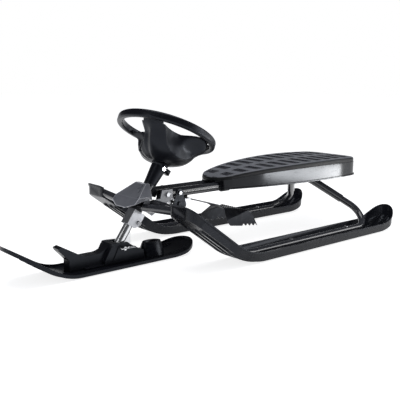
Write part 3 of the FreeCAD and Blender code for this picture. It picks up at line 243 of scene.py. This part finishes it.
def dress(finish, *names):
    """Give CAD nodes a finish."""
    for name in names:
        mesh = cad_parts[name].data
        mesh.materials.clear()
        mesh.materials.append(finish.material)
    print(finish.material.name, "on", ", ".join(names))


print("finishes ready:", Finish.__name__)

# %% [markdown]
# ## Moulded black plastic
# The skis, the steering wheel, the ski socket and the seat shell are black injection mouldings. Such
# plastic is never one flat black: it has a faint orange peel, flow marks that change its gloss, and fine
# scuffs where it slides on snow. A low, slightly blue base colour with a gloss that wanders between two
# values shows all three.

# %% Moulded black plastic
BLUE_SHEEN, PALE_SHEEN = (0.80, 0.87, 1.0, 1.0), (0.90, 0.94, 1.0, 1.0)
FLOW_MARK, PEEL_GRAIN, SCUFF = 0.09, 0.0022, 0.004  # sizes of the marks in metres
ALONG_SLED = (0.08, 1.0, 1.0)                       # scuffs are long in the way the sled slides


def moulded(name, gloss, tint, peel, shine=0.5, sheen=BLUE_SHEEN):
    """Black plastic with a gloss, a base colour and a depth of orange peel."""
    finish = Finish(name, Specular_IOR_Level=shine, Specular_Tint=sheen)
    flow = finish.noise(FLOW_MARK, detail=3.0)
    grain = finish.noise(PEEL_GRAIN, detail=2.0)
    scuffs = finish.ramp(finish.noise(SCUFF, detail=4.0, rough=0.7, stretch=ALONG_SLED), 0.58, 0.75)
    scuffed = tuple(min(1.0, c * 1.7 + 0.006) for c in tint)
    finish.colour(finish.blend(scuffs * 0.5 + flow * 0.25, tint, scuffed))
    finish.roughness(flow * 0.1 + scuffs * 0.12 + gloss)
    finish.bump(grain * 0.6 + flow * 0.4, peel)
    return finish


ski_black = moulded("ski_black", 0.22, (0.0036, 0.0039, 0.0060), 0.00018, shine=0.2)
socket_black = moulded("socket_black", 0.26, (0.0030, 0.0032, 0.0048), 0.0002, shine=0.28)
wheel_black = moulded("wheel_black", 0.28, (0.0034, 0.0037, 0.0058), 0.00018, shine=0.26)
seat_gloss = moulded("seat_gloss", 0.07, (0.0035, 0.0036, 0.0046), 0.00002, shine=0.26, sheen=PALE_SHEEN)
dress(ski_black, "left_rear_ski", "right_rear_ski", "front_ski")
dress(socket_black, "ski_socket")
dress(wheel_black, "steering_wheel")
dress(seat_gloss, "seat_shell")

# %% [markdown]
# ## Seat top
# The ribbed top is a duller grey moulding with a pebbled grain, so a rider does not slide. Cells of about
# a millimetre and a half give the pebbles. The sunk cross bars were left rougher by the mould, and a mask
# on the object's own coordinates darkens them with painted shade: a bar repeats every pitch along the seat,
# on both sides of the middle spine. How far a bar may reach is read from the pad's own points, so the border
# stays even. Pale painted highlights run along the bars' edges, and the pad's side, where it turns away
# from the light above, gets painted shade, near black.

# %% Seat top
BAR_PITCH, BAR_WIDTH, FIRST_BAR, SPINE_HALF = 0.049, 0.027, -0.051, 0.013
SEAT_BACK, SEAT_SPAN, BORDER, WIDEST = -0.62, 0.64, 0.018, 0.25
STEPS = 13                      # places along the seat where the pad's width is read
SIDE_FACING, TOP_FACING = 0.62, 0.93
# painted shade: near black for the pad's side and dark grey for the sunk bars
SIDE_SHADE, BAR_SHADE = (0.0050, 0.0052, 0.0068), (0.020, 0.021, 0.027)
# BAR_EDGE_HIGHLIGHT is the colour of the painted highlights along the bars' edges
WORN_DARK, WORN_LIGHT, BAR_EDGE_HIGHLIGHT = (0.092, 0.096, 0.110), (0.170, 0.175, 0.193), (0.34, 0.35, 0.38)

seat_grain = Finish("seat_grain", Specular_IOR_Level=0.2)
pebbles = seat_grain.cells(0.0016)
patches = seat_grain.noise(0.06, detail=3.0)
turns = (seat_grain.along("X") - FIRST_BAR) / BAR_PITCH
off_bar = seat_grain.add("ShaderNodeMath", {"operation": "PINGPONG"}, {0: turns, 1: 0.5})
off_spine = seat_grain.add("ShaderNodeMath", {"operation": "ABSOLUTE"}, {0: seat_grain.along("Y")})

pad_points = [v.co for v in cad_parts["seat_pad"].data.vertices]
stops = []
for step in range(STEPS + 1):
    x = SEAT_BACK + SEAT_SPAN * step / STEPS
    edge = max([abs(p.y) for p in pad_points if abs(p.x - x) < SEAT_SPAN / (2 * STEPS)], default=0.0)
    half = max(0.0, edge - BORDER) / WIDEST
    stops.append((step / STEPS, (half, half, half, 1.0)))
share = seat_grain.ramp(seat_grain.along("X"), SEAT_BACK, SEAT_BACK + SEAT_SPAN)
reach = seat_grain.add("ShaderNodeValToRGB", {"stops": stops}, {"Fac": share})
in_bar = (off_bar < BAR_WIDTH / BAR_PITCH / 2) * (off_spine > SPINE_HALF) * (off_spine < reach * WIDEST)

worn = seat_grain.blend(patches * 0.6 + pebbles * 0.3, WORN_DARK, WORN_LIGHT)
# painted shade: faces that turn from the top towards the side are painted near black
lit_top = seat_grain.ramp(seat_grain.facing("Z"), SIDE_FACING, TOP_FACING)
# painted shade in the sunk bars; the mask also makes them rougher
shaded_bars = seat_grain.blend(in_bar, worn, BAR_SHADE)
# painted highlights: pale lines along the bars' edges
on_top = seat_grain.blend(seat_grain.edges(0.002) * 0.7, shaded_bars, BAR_EDGE_HIGHLIGHT)
seat_grain.colour(seat_grain.blend(lit_top, SIDE_SHADE, on_top))
seat_grain.roughness(patches * 0.12 + in_bar * 0.12 + 0.36)
seat_grain.bump(pebbles, 0.0004, 0.6)
dress(seat_grain, "seat_pad")

# %% [markdown]
# ## Dark enamel
# The frame tubes are stove enamelled in a very dark grey. The coat is smooth and wet looking, so it shows
# long white streaks, with a shallow ripple from the spray.

# %% Dark enamel
enamel = Finish("enamel", Specular_IOR_Level=0.5, Coat_Roughness=0.05)
ripple = enamel.noise(0.006, detail=1.0)
cloud = enamel.noise(0.05, detail=2.0)
enamel.colour(enamel.blend(cloud, (0.013, 0.014, 0.018), (0.028, 0.029, 0.034)))
enamel.roughness(cloud * 0.08 + 0.15)
enamel.plug(enamel.shader.inputs["Coat Weight"], cloud * 0.2 + 0.3)
enamel.bump(ripple, 0.0001)
TUBES = [side + piece for piece in ("_top_tube", "_runner_tube", "_front_arm") for side in ("left", "right")]
dress(enamel, *TUBES, "steering_head")

# %% [markdown]
# ## Pedal coat
# The brake pedal and its hanger lugs are pressed steel with a duller black coat that feet and ice have
# begun to rub.

# %% Pedal coat
pedal_coat = Finish("pedal_coat", Specular_IOR_Level=0.24, Specular_Tint=BLUE_SHEEN)
rubbed = pedal_coat.ramp(pedal_coat.noise(0.012, detail=5.0, rough=0.65), 0.55, 0.8)
pedal_coat.colour(pedal_coat.blend(rubbed, (0.007, 0.007, 0.009), (0.040, 0.041, 0.046)))
pedal_coat.roughness(rubbed * 0.2 + 0.32)
pedal_coat.bump(pedal_coat.noise(0.002), 0.0002)
dress(pedal_coat, "brake_pedal", "left_brake_lug", "right_brake_lug", "brake_pin")

# %% [markdown]
# ## Head cover, plates and small plastics
# The folded cover over the steering head is a satin grey, and so are the two pressed plates beside it.
# Pale lines along their edges are painted highlights. The bushes and saddles below are plain
# black, and the brake's bumpers are dull rubber.

# %% Head cover, plates and small plastics
# PALE_EDGE_HIGHLIGHT is the colour of the painted highlights along the edges
EDGE_LINE, PALE_EDGE_HIGHLIGHT = 0.0022, (0.50, 0.51, 0.54)


def satin(name, dark, light, gloss):
    """A coat between two greys, with painted highlights as pale lines along its edges."""
    finish = Finish(name, Specular_IOR_Level=0.5)
    veil = finish.noise(0.03, detail=3.0)
    coat = finish.blend(veil, dark, light)
    # painted highlights: pale lines along the edges
    finish.colour(finish.blend(finish.edges(EDGE_LINE), coat, PALE_EDGE_HIGHLIGHT))
    finish.roughness(veil * 0.15 + gloss)
    finish.bump(finish.noise(0.0015), 0.0002)
    return finish


cover_satin = satin("cover_satin", (0.085, 0.088, 0.102), (0.140, 0.144, 0.160), 0.22)
plate_satin = satin("plate_satin", (0.16, 0.165, 0.18), (0.26, 0.265, 0.28), 0.26)
dress(cover_satin, "head_cover")
dress(plate_satin, "left_head_plate", "right_head_plate")

plain_black = moulded("plain_black", 0.4, (0.012, 0.012, 0.013), 0.0003)
dress(plain_black, "upper_bush", "lower_bush", "front_saddle", "rear_saddle")

stop_rubber = Finish("stop_rubber", Specular_IOR_Level=0.3)
bloom = stop_rubber.noise(0.004, detail=4.0)
stop_rubber.colour(stop_rubber.blend(bloom, (0.012, 0.012, 0.012), (0.04, 0.04, 0.04)))
stop_rubber.roughness(bloom * 0.2 + 0.65)
stop_rubber.bump(bloom, 0.0002)
dress(stop_rubber, "brake_bumper")

# %% [markdown]
# ## Bright zinc
# The column, its bracket, the brake yoke and all fasteners are zinc plated. Zinc is a little blue,
# brighter than steel, and cloudy at close range, so both its colour and its gloss wander.

# %% Bright zinc
def plated(name, dark, light, gloss, relief):
    """Zinc between two greys, with fine draw marks."""
    finish = Finish(name, Metallic=1.0)
    spangle = finish.noise(0.008, detail=4.0, rough=0.6)
    drawn = finish.noise(0.003, detail=3.0, stretch=(1.0, 1.0, 0.1))
    finish.colour(finish.blend(spangle * 0.6 + drawn * 0.4, dark, light))
    finish.roughness(spangle * 0.12 + drawn * 0.06 + gloss)
    finish.bump(drawn, relief)
    return finish


bright_zinc = plated("bright_zinc", (0.62, 0.63, 0.66), (0.90, 0.91, 0.93), 0.12, 0.00003)
pressed_zinc = plated("pressed_zinc", (0.42, 0.43, 0.46), (0.62, 0.63, 0.66), 0.30, 0.00002)
bolt_zinc = plated("bolt_zinc", (0.26, 0.265, 0.28), (0.46, 0.47, 0.49), 0.24, 0.00002)
dress(bright_zinc, "steering_column", "pitch_stop", "wheel_screw", "ski_pin", "pin_clip", "brake_spring")
dress(pressed_zinc, "fork_bracket", "brake_yoke")
dress(bolt_zinc, "bracket_bolt", "frame_bolts", "ski_screws")

# %% [markdown]
# ## Softer mouldings
# Three pieces have flowing shapes that are clumsy to draw with planes and cylinders: the toe cup of a
# rear ski, the bowl of the wheel and the cover over the steering head. The CAD mesh is copied, cut a
# little finer, and its points are moved by a short rule. The copy then stands for the CAD node and rides
# on the same body. A smooth step, which has no kink at either end, keeps every moved part flowing into
# the part that stays.

# %% Reshaping helper
SOFT_CREASE, FOLD_CREASE = 32, 6       # degrees between faces from which an edge is shown sharp
SAME_POINT, ON_PLANE = 1e-6, 1e-7      # metres


def ease(low, high, value):
    """0 below low, 1 above high and a smooth step between."""
    share = min(1.0, max(0.0, (value - low) / (high - low)))
    return share * share * (3 - 2 * share)


def band(span, value):
    """0 outside a span, 1 along its middle, with a smooth step at both ends."""
    start, full, fading, end = span
    return ease(start, full, value) * (1 - ease(fading, end, value))


def reshaped(node, body, name, cuts, move, crease=SOFT_CREASE):
    """A copy of a CAD node's mesh, cut along planes for finer faces, with its points moved by a rule.

    A cut has a point on its plane, the plane's direction, and the x from which faces are cut.
    """
    work = bmesh.new()
    work.from_mesh(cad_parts[node].data)
    bmesh.ops.remove_doubles(work, verts=work.verts, dist=SAME_POINT)
    for place, across, start in cuts:
        faces = [f for f in work.faces if min(v.co.x for v in f.verts) > start]
        parts = list({e for f in faces for e in f.edges} | {v for f in faces for v in f.verts}) + faces
        bmesh.ops.bisect_plane(work, geom=parts, dist=ON_PLANE, plane_co=place, plane_no=across)
    for vert in work.verts:
        vert.co = move(vert.co)
    mesh = bpy.data.meshes.new(name)
    work.to_mesh(mesh)
    work.free()
    mesh.shade_smooth()
    mesh.set_sharp_from_angle(angle=math.radians(crease))
    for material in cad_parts[node].data.materials:
        mesh.materials.append(material)
    piece = bpy.data.objects.new(name, mesh)
    scene.collection.objects.link(piece)
    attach(piece, body)
    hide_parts(node)
    print(name, "stands for", node, "with", len(mesh.polygons), "faces")


print("reshaping ready, soft edges below", SOFT_CREASE, "degrees")

# %% [markdown]
# ## Toe cups
# A rear ski ends in a cup whose outer wall is high and whose inner wall is low. Height above the sloping
# deck is measured square to it. What stands higher than the low wall is pressed down, the more so the
# nearer it is to the sled's middle.

# %% Toe cups
TRACK_HALF, SKI_HALF, NOSE_X = 0.205, 0.048, 0.262
NOSE_SLOPE, NOSE_FOOT = math.radians(36.0), -0.006
LOW_WALL, WALL_CUT = 0.008, 0.75
SINKS, SUNK = 0.12, 0.17                 # along the ski, where the wall begins to sink and where it is sunk
MIDLINE, INNER_SIDE = 0.004, 0.040       # the same across the ski, measured inwards
CUT_STEP, CUT_FROM, TOE_CUTS, JUST_BEHIND = 0.012, 0.05, 12, 1e-5
FORWARD, SIDEWAYS = (1, 0, 0), (0, 1, 0)


def toe_cup(side):
    """The rule for one ski: side is 1 for the left ski and -1 for the right."""
    def move(point):
        x, z = point.x, point.z
        across = side * point.y - TRACK_HALF
        above = (z - (x - NOSE_FOOT) * math.tan(NOSE_SLOPE)) * math.cos(NOSE_SLOPE)
        inner = ease(MIDLINE, INNER_SIDE, -across) * ease(SINKS, SUNK, x)
        if above > LOW_WALL and inner > 0:
            drop = (above - LOW_WALL) * WALL_CUT * inner
            x, z = x + drop * math.sin(NOSE_SLOPE), z - drop * math.cos(NOSE_SLOPE)
        return Vector((x, side * (across + TRACK_HALF), z))
    return move


toe_start = NOSE_X - SKI_HALF
for side, word in ((1, "left"), (-1, "right")):
    cuts = [((SINKS + CUT_STEP * k, 0, 0), FORWARD, CUT_FROM) for k in range(TOE_CUTS)]
    cuts.append(((toe_start, 0, 0), FORWARD, CUT_FROM))
    for k in range(-3, 4):
        cuts.append(((0, side * (TRACK_HALF + CUT_STEP * k), 0), SIDEWAYS, toe_start - JUST_BEHIND))
    reshaped(word + "_rear_ski", "frame", word + "_ski_moulding", cuts, toe_cup(side))

# %% [markdown]
# ## Wheel bowl
# The bowl hangs below the rim. Each point is read as an angle round the wheel, a distance from its middle
# and a depth below the rim. In front of a grip window the panel may lie further out or in, and the
# spokes' edges are drawn in. On the left, the panel also climbs to the rim as it nears the rear spoke.
# The rim and the hub stay where they are.

# %% Wheel bowl
WHEEL_MIDDLE = Vector((0.149, 0.0, 0.3435))
WHEEL_PITCH, WHEEL_ROLL = math.radians(26.3), math.radians(6.4)
WHEEL_TURN = Matrix.Rotation(-WHEEL_PITCH, 3, "Y") @ Matrix.Rotation(WHEEL_ROLL, 3, "X")
COLUMN_FOOT, COLUMN_WAY = Vector((0.350, 0, 0)), Vector((-0.5707, 0, 0.8211))
GRIP_WINDOWS = ((-29.0, -0.30, 0.20), (91.0, 0.14, 0.0), (211.0, 0.10, 0.0))  # angle, panel out, edges in
PANEL_SPAN = 38.0                        # degrees from a window's middle to the end of its panel
SPOKE_EDGES = (10, 34, 46, 59)           # degrees off a window's middle
LEFT_FLANK = (80, 118, 146, 156)         # degrees round the wheel
FLANK_OUT, PANEL_LIFT = 0.45, 0.014
RIM_DEPTH, INNER_RIM, RIM_BLEND = 0.004, 0.118, 0.010
PANEL_DEPTHS, EDGE_DEPTHS, FLANK_DEPTHS = (RIM_DEPTH, 0.012), (0.010, 0.036), (RIM_DEPTH, 0.010)
OUT_FADES, LIFT_FADES = (0.012, 0.048), (0.018, 0.055)  # depths over which the flank's moves die away
HUB_STAYS, HUB_ENDS = 0.024, 0.040       # distances from the column
BOWL_CUT, BOWL_CUTS = 0.006, 13


def draw_in(point):
    """The rule for the wheel."""
    local = WHEEL_TURN.transposed() @ (point - WHEEL_MIDDLE)
    depth = -local.z
    if depth < RIM_DEPTH:
        return point
    from_foot = point - COLUMN_FOOT
    off_column = (from_foot - COLUMN_WAY * from_foot.dot(COLUMN_WAY)).length
    angle = math.degrees(math.atan2(local.y, local.x))
    around = math.hypot(local.x, local.y)
    bowl = 1 - ease(INNER_RIM - RIM_BLEND, INNER_RIM, around)
    grow = 0.0
    for window, panel_out, edges_in in GRIP_WINDOWS:
        off = abs((angle - window + 180) % 360 - 180)
        grow += panel_out * bowl * (1 - ease(0, PANEL_SPAN, off)) * ease(*PANEL_DEPTHS, depth)
        grow -= edges_in * band(SPOKE_EDGES, off) * ease(*EDGE_DEPTHS, depth)
    flank = 0.0
    if around < INNER_RIM:
        flank = band(LEFT_FLANK, angle) * ease(*FLANK_DEPTHS, depth)
    grow += FLANK_OUT * flank * (1 - ease(*OUT_FADES, depth))
    scale = 1 + grow * ease(HUB_STAYS, HUB_ENDS, off_column)
    if around < INNER_RIM:
        scale = min(scale, INNER_RIM / around)
    lift = PANEL_LIFT * flank * (1 - ease(*LIFT_FADES, depth))
    return WHEEL_TURN @ Vector((local.x * scale, local.y * scale, local.z + lift)) + WHEEL_MIDDLE


axis = WHEEL_TURN @ Vector((0, 0, 1))
EVERYWHERE = -1.0                        # an x behind the whole sled, so all faces are cut
cuts = [(WHEEL_MIDDLE - axis * (BOWL_CUT * k), axis, EVERYWHERE) for k in range(1, BOWL_CUTS + 1)]
reshaped("steering_wheel", "steering", "wheel_moulding", cuts, draw_in)

# %% [markdown]
# ## Head cover
# The cover spreads away from the column and its front edge falls, so that it slopes forward like a small
# bonnet. Points close to the column stay, because the column turns in the cover's hole.

# %% Head cover
COVER_GROW, NOSE_FALL, LOW_SHARE = 0.20, 0.045, 0.45
COLLAR, SKIRT = 0.014, 0.034             # distances from the column: what stays, what spreads in full
NOSE_STARTS, NOSE_ENDS = 0.010, 0.050    # distances in front of the column
heights = [(v.co - COLUMN_FOOT).dot(COLUMN_WAY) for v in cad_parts["head_cover"].data.vertices]
LOW_EDGE, HIGH_EDGE = min(heights), max(heights)


def spread(point):
    """The rule for the cover."""
    from_foot = point - COLUMN_FOOT
    height = from_foot.dot(COLUMN_WAY)
    out = from_foot - COLUMN_WAY * height
    far = ease(COLLAR, SKIRT, out.length)
    share = LOW_SHARE + (1 - LOW_SHARE) * ease(LOW_EDGE, HIGH_EDGE, height)
    fall = NOSE_FALL * ease(NOSE_STARTS, NOSE_ENDS, out.x) * share
    return COLUMN_FOOT + COLUMN_WAY * (height - fall) + out * (1 + COVER_GROW * far)


reshaped("head_cover", "frame", "cover_folds", [], spread, crease=FOLD_CREASE)

# %% [markdown]
# ## Recipes for repeated details
# Things that repeat are grown by Geometry Nodes. A recipe has named inputs for its sizes. Its result is
# turned into a plain mesh, so what is left in the scene is an ordinary piece without a modifier.

# %% Recipes for repeated details
class Recipe(Tree):
    """A Geometry Nodes tree with named inputs."""

    def __init__(self, name):
        self.group = bpy.data.node_groups.new(name, "GeometryNodeTree")
        self.group.interface.new_socket("Geometry", in_out="OUTPUT", socket_type="NodeSocketGeometry")
        super().__init__(self.group)
        self.entry = self.nodes.new("NodeGroupInput")
        self.sizes = {}

    def size(self, name, value, kind="NodeSocketFloat"):
        """A named input, and the value that this sled gives it."""
        socket = self.group.interface.new_socket(name, in_out="INPUT", socket_type=kind)
        self.sizes[socket.identifier] = value
        return Value(self, next(out for out in self.entry.outputs if out.identifier == socket.identifier))

    def grow(self, piece_name, instances, finish):
        """Realize the instances, dress them and turn the result into a plain mesh piece."""
        solid = self.add("GeometryNodeRealizeInstances", {}, {0: instances})
        sockets = {"Geometry": solid, "Material": finish.material}
        dressed = self.add("GeometryNodeSetMaterial", {}, sockets)
        self.plug(self.nodes.new("NodeGroupOutput").inputs[0], dressed)
        seedling = bpy.data.objects.new("seedling", bpy.data.meshes.new("seedling"))
        scene.collection.objects.link(seedling)
        modifier = seedling.modifiers.new("recipe", "NODES")
        modifier.node_group = self.group
        for identifier, value in self.sizes.items():
            modifier[identifier] = value
        grown = seedling.evaluated_get(bpy.context.evaluated_depsgraph_get())
        mesh = bpy.data.meshes.new_from_object(grown)
        bpy.data.objects.remove(seedling)
        piece = bpy.data.objects.new(piece_name, mesh)
        scene.collection.objects.link(piece)
        print(piece_name, "has", len(mesh.polygons), "faces")
        return piece


print("recipes ready:", Recipe.__name__)

# %% [markdown]
# ## Studs on the brake pad
# The pad of the foot brake is covered with small punched studs, so a boot does not slip off it. On the
# real pedal they are pressed out of the sheet in straight rows. Here a flat grid of points hangs above
# the pad and each point is dropped on the sheet by a ray, so the studs follow its bends and twists
# without any measuring. Points that land on a steep face are left out, and the rest ride with the brake.

# %% Studs on the brake pad
stud_rows = Recipe("stud_rows")
pad = stud_rows.size("Pedal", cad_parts["brake_pedal"], "NodeSocketObject")
length, width = stud_rows.size("Length", 0.072), stud_rows.size("Width", 0.108)
rows, columns = stud_rows.size("Rows", 9, "NodeSocketInt"), stud_rows.size("Columns", 13, "NodeSocketInt")
foot, tip = stud_rows.size("Foot radius", 0.0021), stud_rows.size("Tip radius", 0.0010)
rise = stud_rows.size("Rise", 0.0016)
SINK, PAD_MIDDLE = 0.0004, (-0.081, 0.0, 0.16)
DOWN, RAY_LENGTH, STEEP, STUD_SIDES = (0, 0, -1), 0.2, 0.4, 8

as_drawn = {"transform_space": "ORIGINAL"}
sheet = stud_rows.add("GeometryNodeObjectInfo", as_drawn, {"Object": pad}, output="Geometry")
sockets = {"Size X": length, "Size Y": width, "Vertices X": rows, "Vertices Y": columns}
flat = stud_rows.add("GeometryNodeMeshGrid", {}, sockets)
hung = stud_rows.add("GeometryNodeTransform", {}, {"Geometry": flat, "Translation": PAD_MIDDLE})
sockets = {"Target Geometry": sheet, "Ray Direction": DOWN, "Ray Length": RAY_LENGTH}
results = ("Is Hit", "Hit Position", "Hit Normal")
landed, spot, lean = stud_rows.add("GeometryNodeRaycast", {}, sockets, output=results)
lean_there = {"captures": [("VECTOR", "lean")]}
sockets = {"Geometry": hung, 1: lean}
kept, kept_lean = stud_rows.add("GeometryNodeCaptureAttribute", lean_there, sockets, output=(0, 1))
upward = stud_rows.add("ShaderNodeSeparateXYZ", {}, {"Vector": lean}, output="Z") > STEEP
sockets = {"Mesh": kept, "Selection": upward * landed, "Position": spot}
places = stud_rows.add("GeometryNodeMeshToPoints", {}, sockets)
sockets = {"Vertices": STUD_SIDES, "Radius Top": tip, "Radius Bottom": foot, "Depth": rise}
cone = stud_rows.add("GeometryNodeMeshCone", {}, sockets, output="Mesh")
stud = stud_rows.add("GeometryNodeTransform", {}, {"Geometry": cone, "Translation": (0, 0, -SINK)})
turn = stud_rows.add("FunctionNodeAlignRotationToVector", {"axis": "Z"}, {"Vector": kept_lean})
sockets = {"Points": places, "Instance": stud, "Rotation": turn}
rows_of_studs = stud_rows.add("GeometryNodeInstanceOnPoints", {}, sockets)
pad_studs = stud_rows.grow("pad_studs", rows_of_studs, pedal_coat)
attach(pad_studs, "brake")

# %% [markdown]
# ## Floor
# A white sweep without a horizon. To the eye the floor glows a little below white and a plain diffuse
# surface adds the rest, so lit floor is white and the sled still leaves a soft shadow. Rays that carry
# light to other pieces see a plain pale surface instead.

# %% Floor
def ray(tree, *kinds):
    """1 for rays of any of these kinds, otherwise 0."""
    share = tree.add("ShaderNodeLightPath", output=kinds[0])
    for kind in kinds[1:]:
        share = tree.both(share, tree.add("ShaderNodeLightPath", output=kind))
    return share


REACH, BELOW_SKIS = 12.0, 0.0005
BOUNCE, SHADE, FLOOR_GLOW = (0.80, 0.80, 0.80, 1), (0.50, 0.50, 0.50, 1), 0.8

corners = [(-REACH, -REACH, 0), (REACH, -REACH, 0), (REACH, REACH, 0), (-REACH, REACH, 0)]
floor_mesh = bpy.data.meshes.new("floor")
floor_mesh.from_pydata(corners, [], [(0, 1, 2, 3)])
floor = bpy.data.objects.new("floor", floor_mesh)
floor.location.z = -BELOW_SKIS
scene.collection.objects.link(floor)

pale_floor = bpy.data.materials.new("pale_floor")
pale_floor.use_nodes = True
pale_tree = Tree(pale_floor.node_tree)
bounce = pale_tree.add("ShaderNodeBsdfDiffuse", {}, {"Color": BOUNCE})
shade = pale_tree.add("ShaderNodeBsdfDiffuse", {}, {"Color": SHADE})
glow = pale_tree.add("ShaderNodeEmission", {}, {"Strength": FLOOR_GLOW})
to_eye = pale_tree.add("ShaderNodeAddShader", {}, {0: glow, 1: shade})
seen = ray(pale_tree, "Is Camera Ray", "Is Glossy Ray", "Is Transmission Ray")
surface = pale_tree.add("ShaderNodeMixShader", {}, {0: seen, 1: bounce, 2: to_eye})
pale_tree.plug(pale_tree.nodes["Material Output"].inputs["Surface"], surface)
floor_mesh.materials.append(pale_floor)
print("floor ready,", 2 * REACH, "m wide")

# %% [markdown]
# ## Room
# The camera sees white behind the sled. Polished pieces see the white floor below and a dark room above
# it, which is what keeps black plastic black. Everything else gets a soft light from all round.

# %% Room
WHITE, ROOM_LIGHT = (1, 1, 1, 1), 0.45
ROOM_TINT, MIRROR_TINT = (0.90, 0.93, 1.0, 1), (0.95, 0.97, 1.0, 1)
DARK_ABOVE, LIGHT_BELOW, DARKEST = 0.16, 0.02, 0.06  # heights of the change, and the light left at the top

world = bpy.data.worlds.new("studio")
scene.world = world
world.use_nodes = True
sky = Tree(world.node_tree)
room = sky.add("ShaderNodeBackground", {}, {"Color": ROOM_TINT, "Strength": ROOM_LIGHT})
direction = sky.add("ShaderNodeTexCoord", output="Generated")
height = sky.add("ShaderNodeSeparateXYZ", {}, {"Vector": direction}, output="Z")
dusk = sky.ramp(height, DARK_ABOVE, LIGHT_BELOW) * (1 - DARKEST) + DARKEST
mirror = sky.add("ShaderNodeBackground", {}, {"Color": MIRROR_TINT, "Strength": dusk})
white = sky.add("ShaderNodeBackground", {}, {"Color": WHITE, "Strength": 1.0})
soft = sky.add("ShaderNodeMixShader", {}, {0: ray(sky, "Is Glossy Ray"), 1: room, 2: mirror})
to_camera = ray(sky, "Is Camera Ray", "Is Transmission Ray")
backdrop = sky.add("ShaderNodeMixShader", {}, {0: to_camera, 1: soft, 2: white})
sky.plug(sky.nodes["World Output"].inputs["Surface"], backdrop)
print("room ready:", world.name)

# %% [markdown]
# ## Lamps
# One broad lamp hangs over the sled, and two more stand at its left and its front. A low card beside the
# seat draws the bright patch on the seat's wall.

# %% Lamps
def lamp(name, place, aim, size, power):
    """A flat lamp that the camera does not see, with its size in metres and its power in watts."""
    data = bpy.data.lights.new(name, "AREA")
    data.shape = "RECTANGLE"
    data.size, data.size_y = size
    data.energy = power
    lamp_object = bpy.data.objects.new(name, data)
    lamp_object.location = place
    way = Vector(aim) - Vector(place)
    lamp_object.rotation_euler = way.to_track_quat("-Z", "Y").to_euler()
    lamp_object.visible_camera = False
    scene.collection.objects.link(lamp_object)


lamp("top_light", (0.1, 0.2, 2.2), (0, 0, 0.1), (2.2, 1.2), 28.0)
lamp("left_light", (-1.9, 1.55, 0.95), (-0.1, 0.1, 0.15), (1.5, 0.8), 16.0)
lamp("front_light", (2.4, 0.2, 1.1), (0.2, 0, 0.2), (1.0, 1.2), 7.0)
lamp("seat_card", (-0.99, 0.92, 0.045), (-0.3, 0.1, 0.045), (0.95, 0.075), 4.8)
scene.view_settings.view_transform = "Standard"
print("lamps ready:", len(bpy.data.lights))

# %% [markdown]
# ## Sizes
# The visual model stays inside the CAD model's box.


print("end of script")
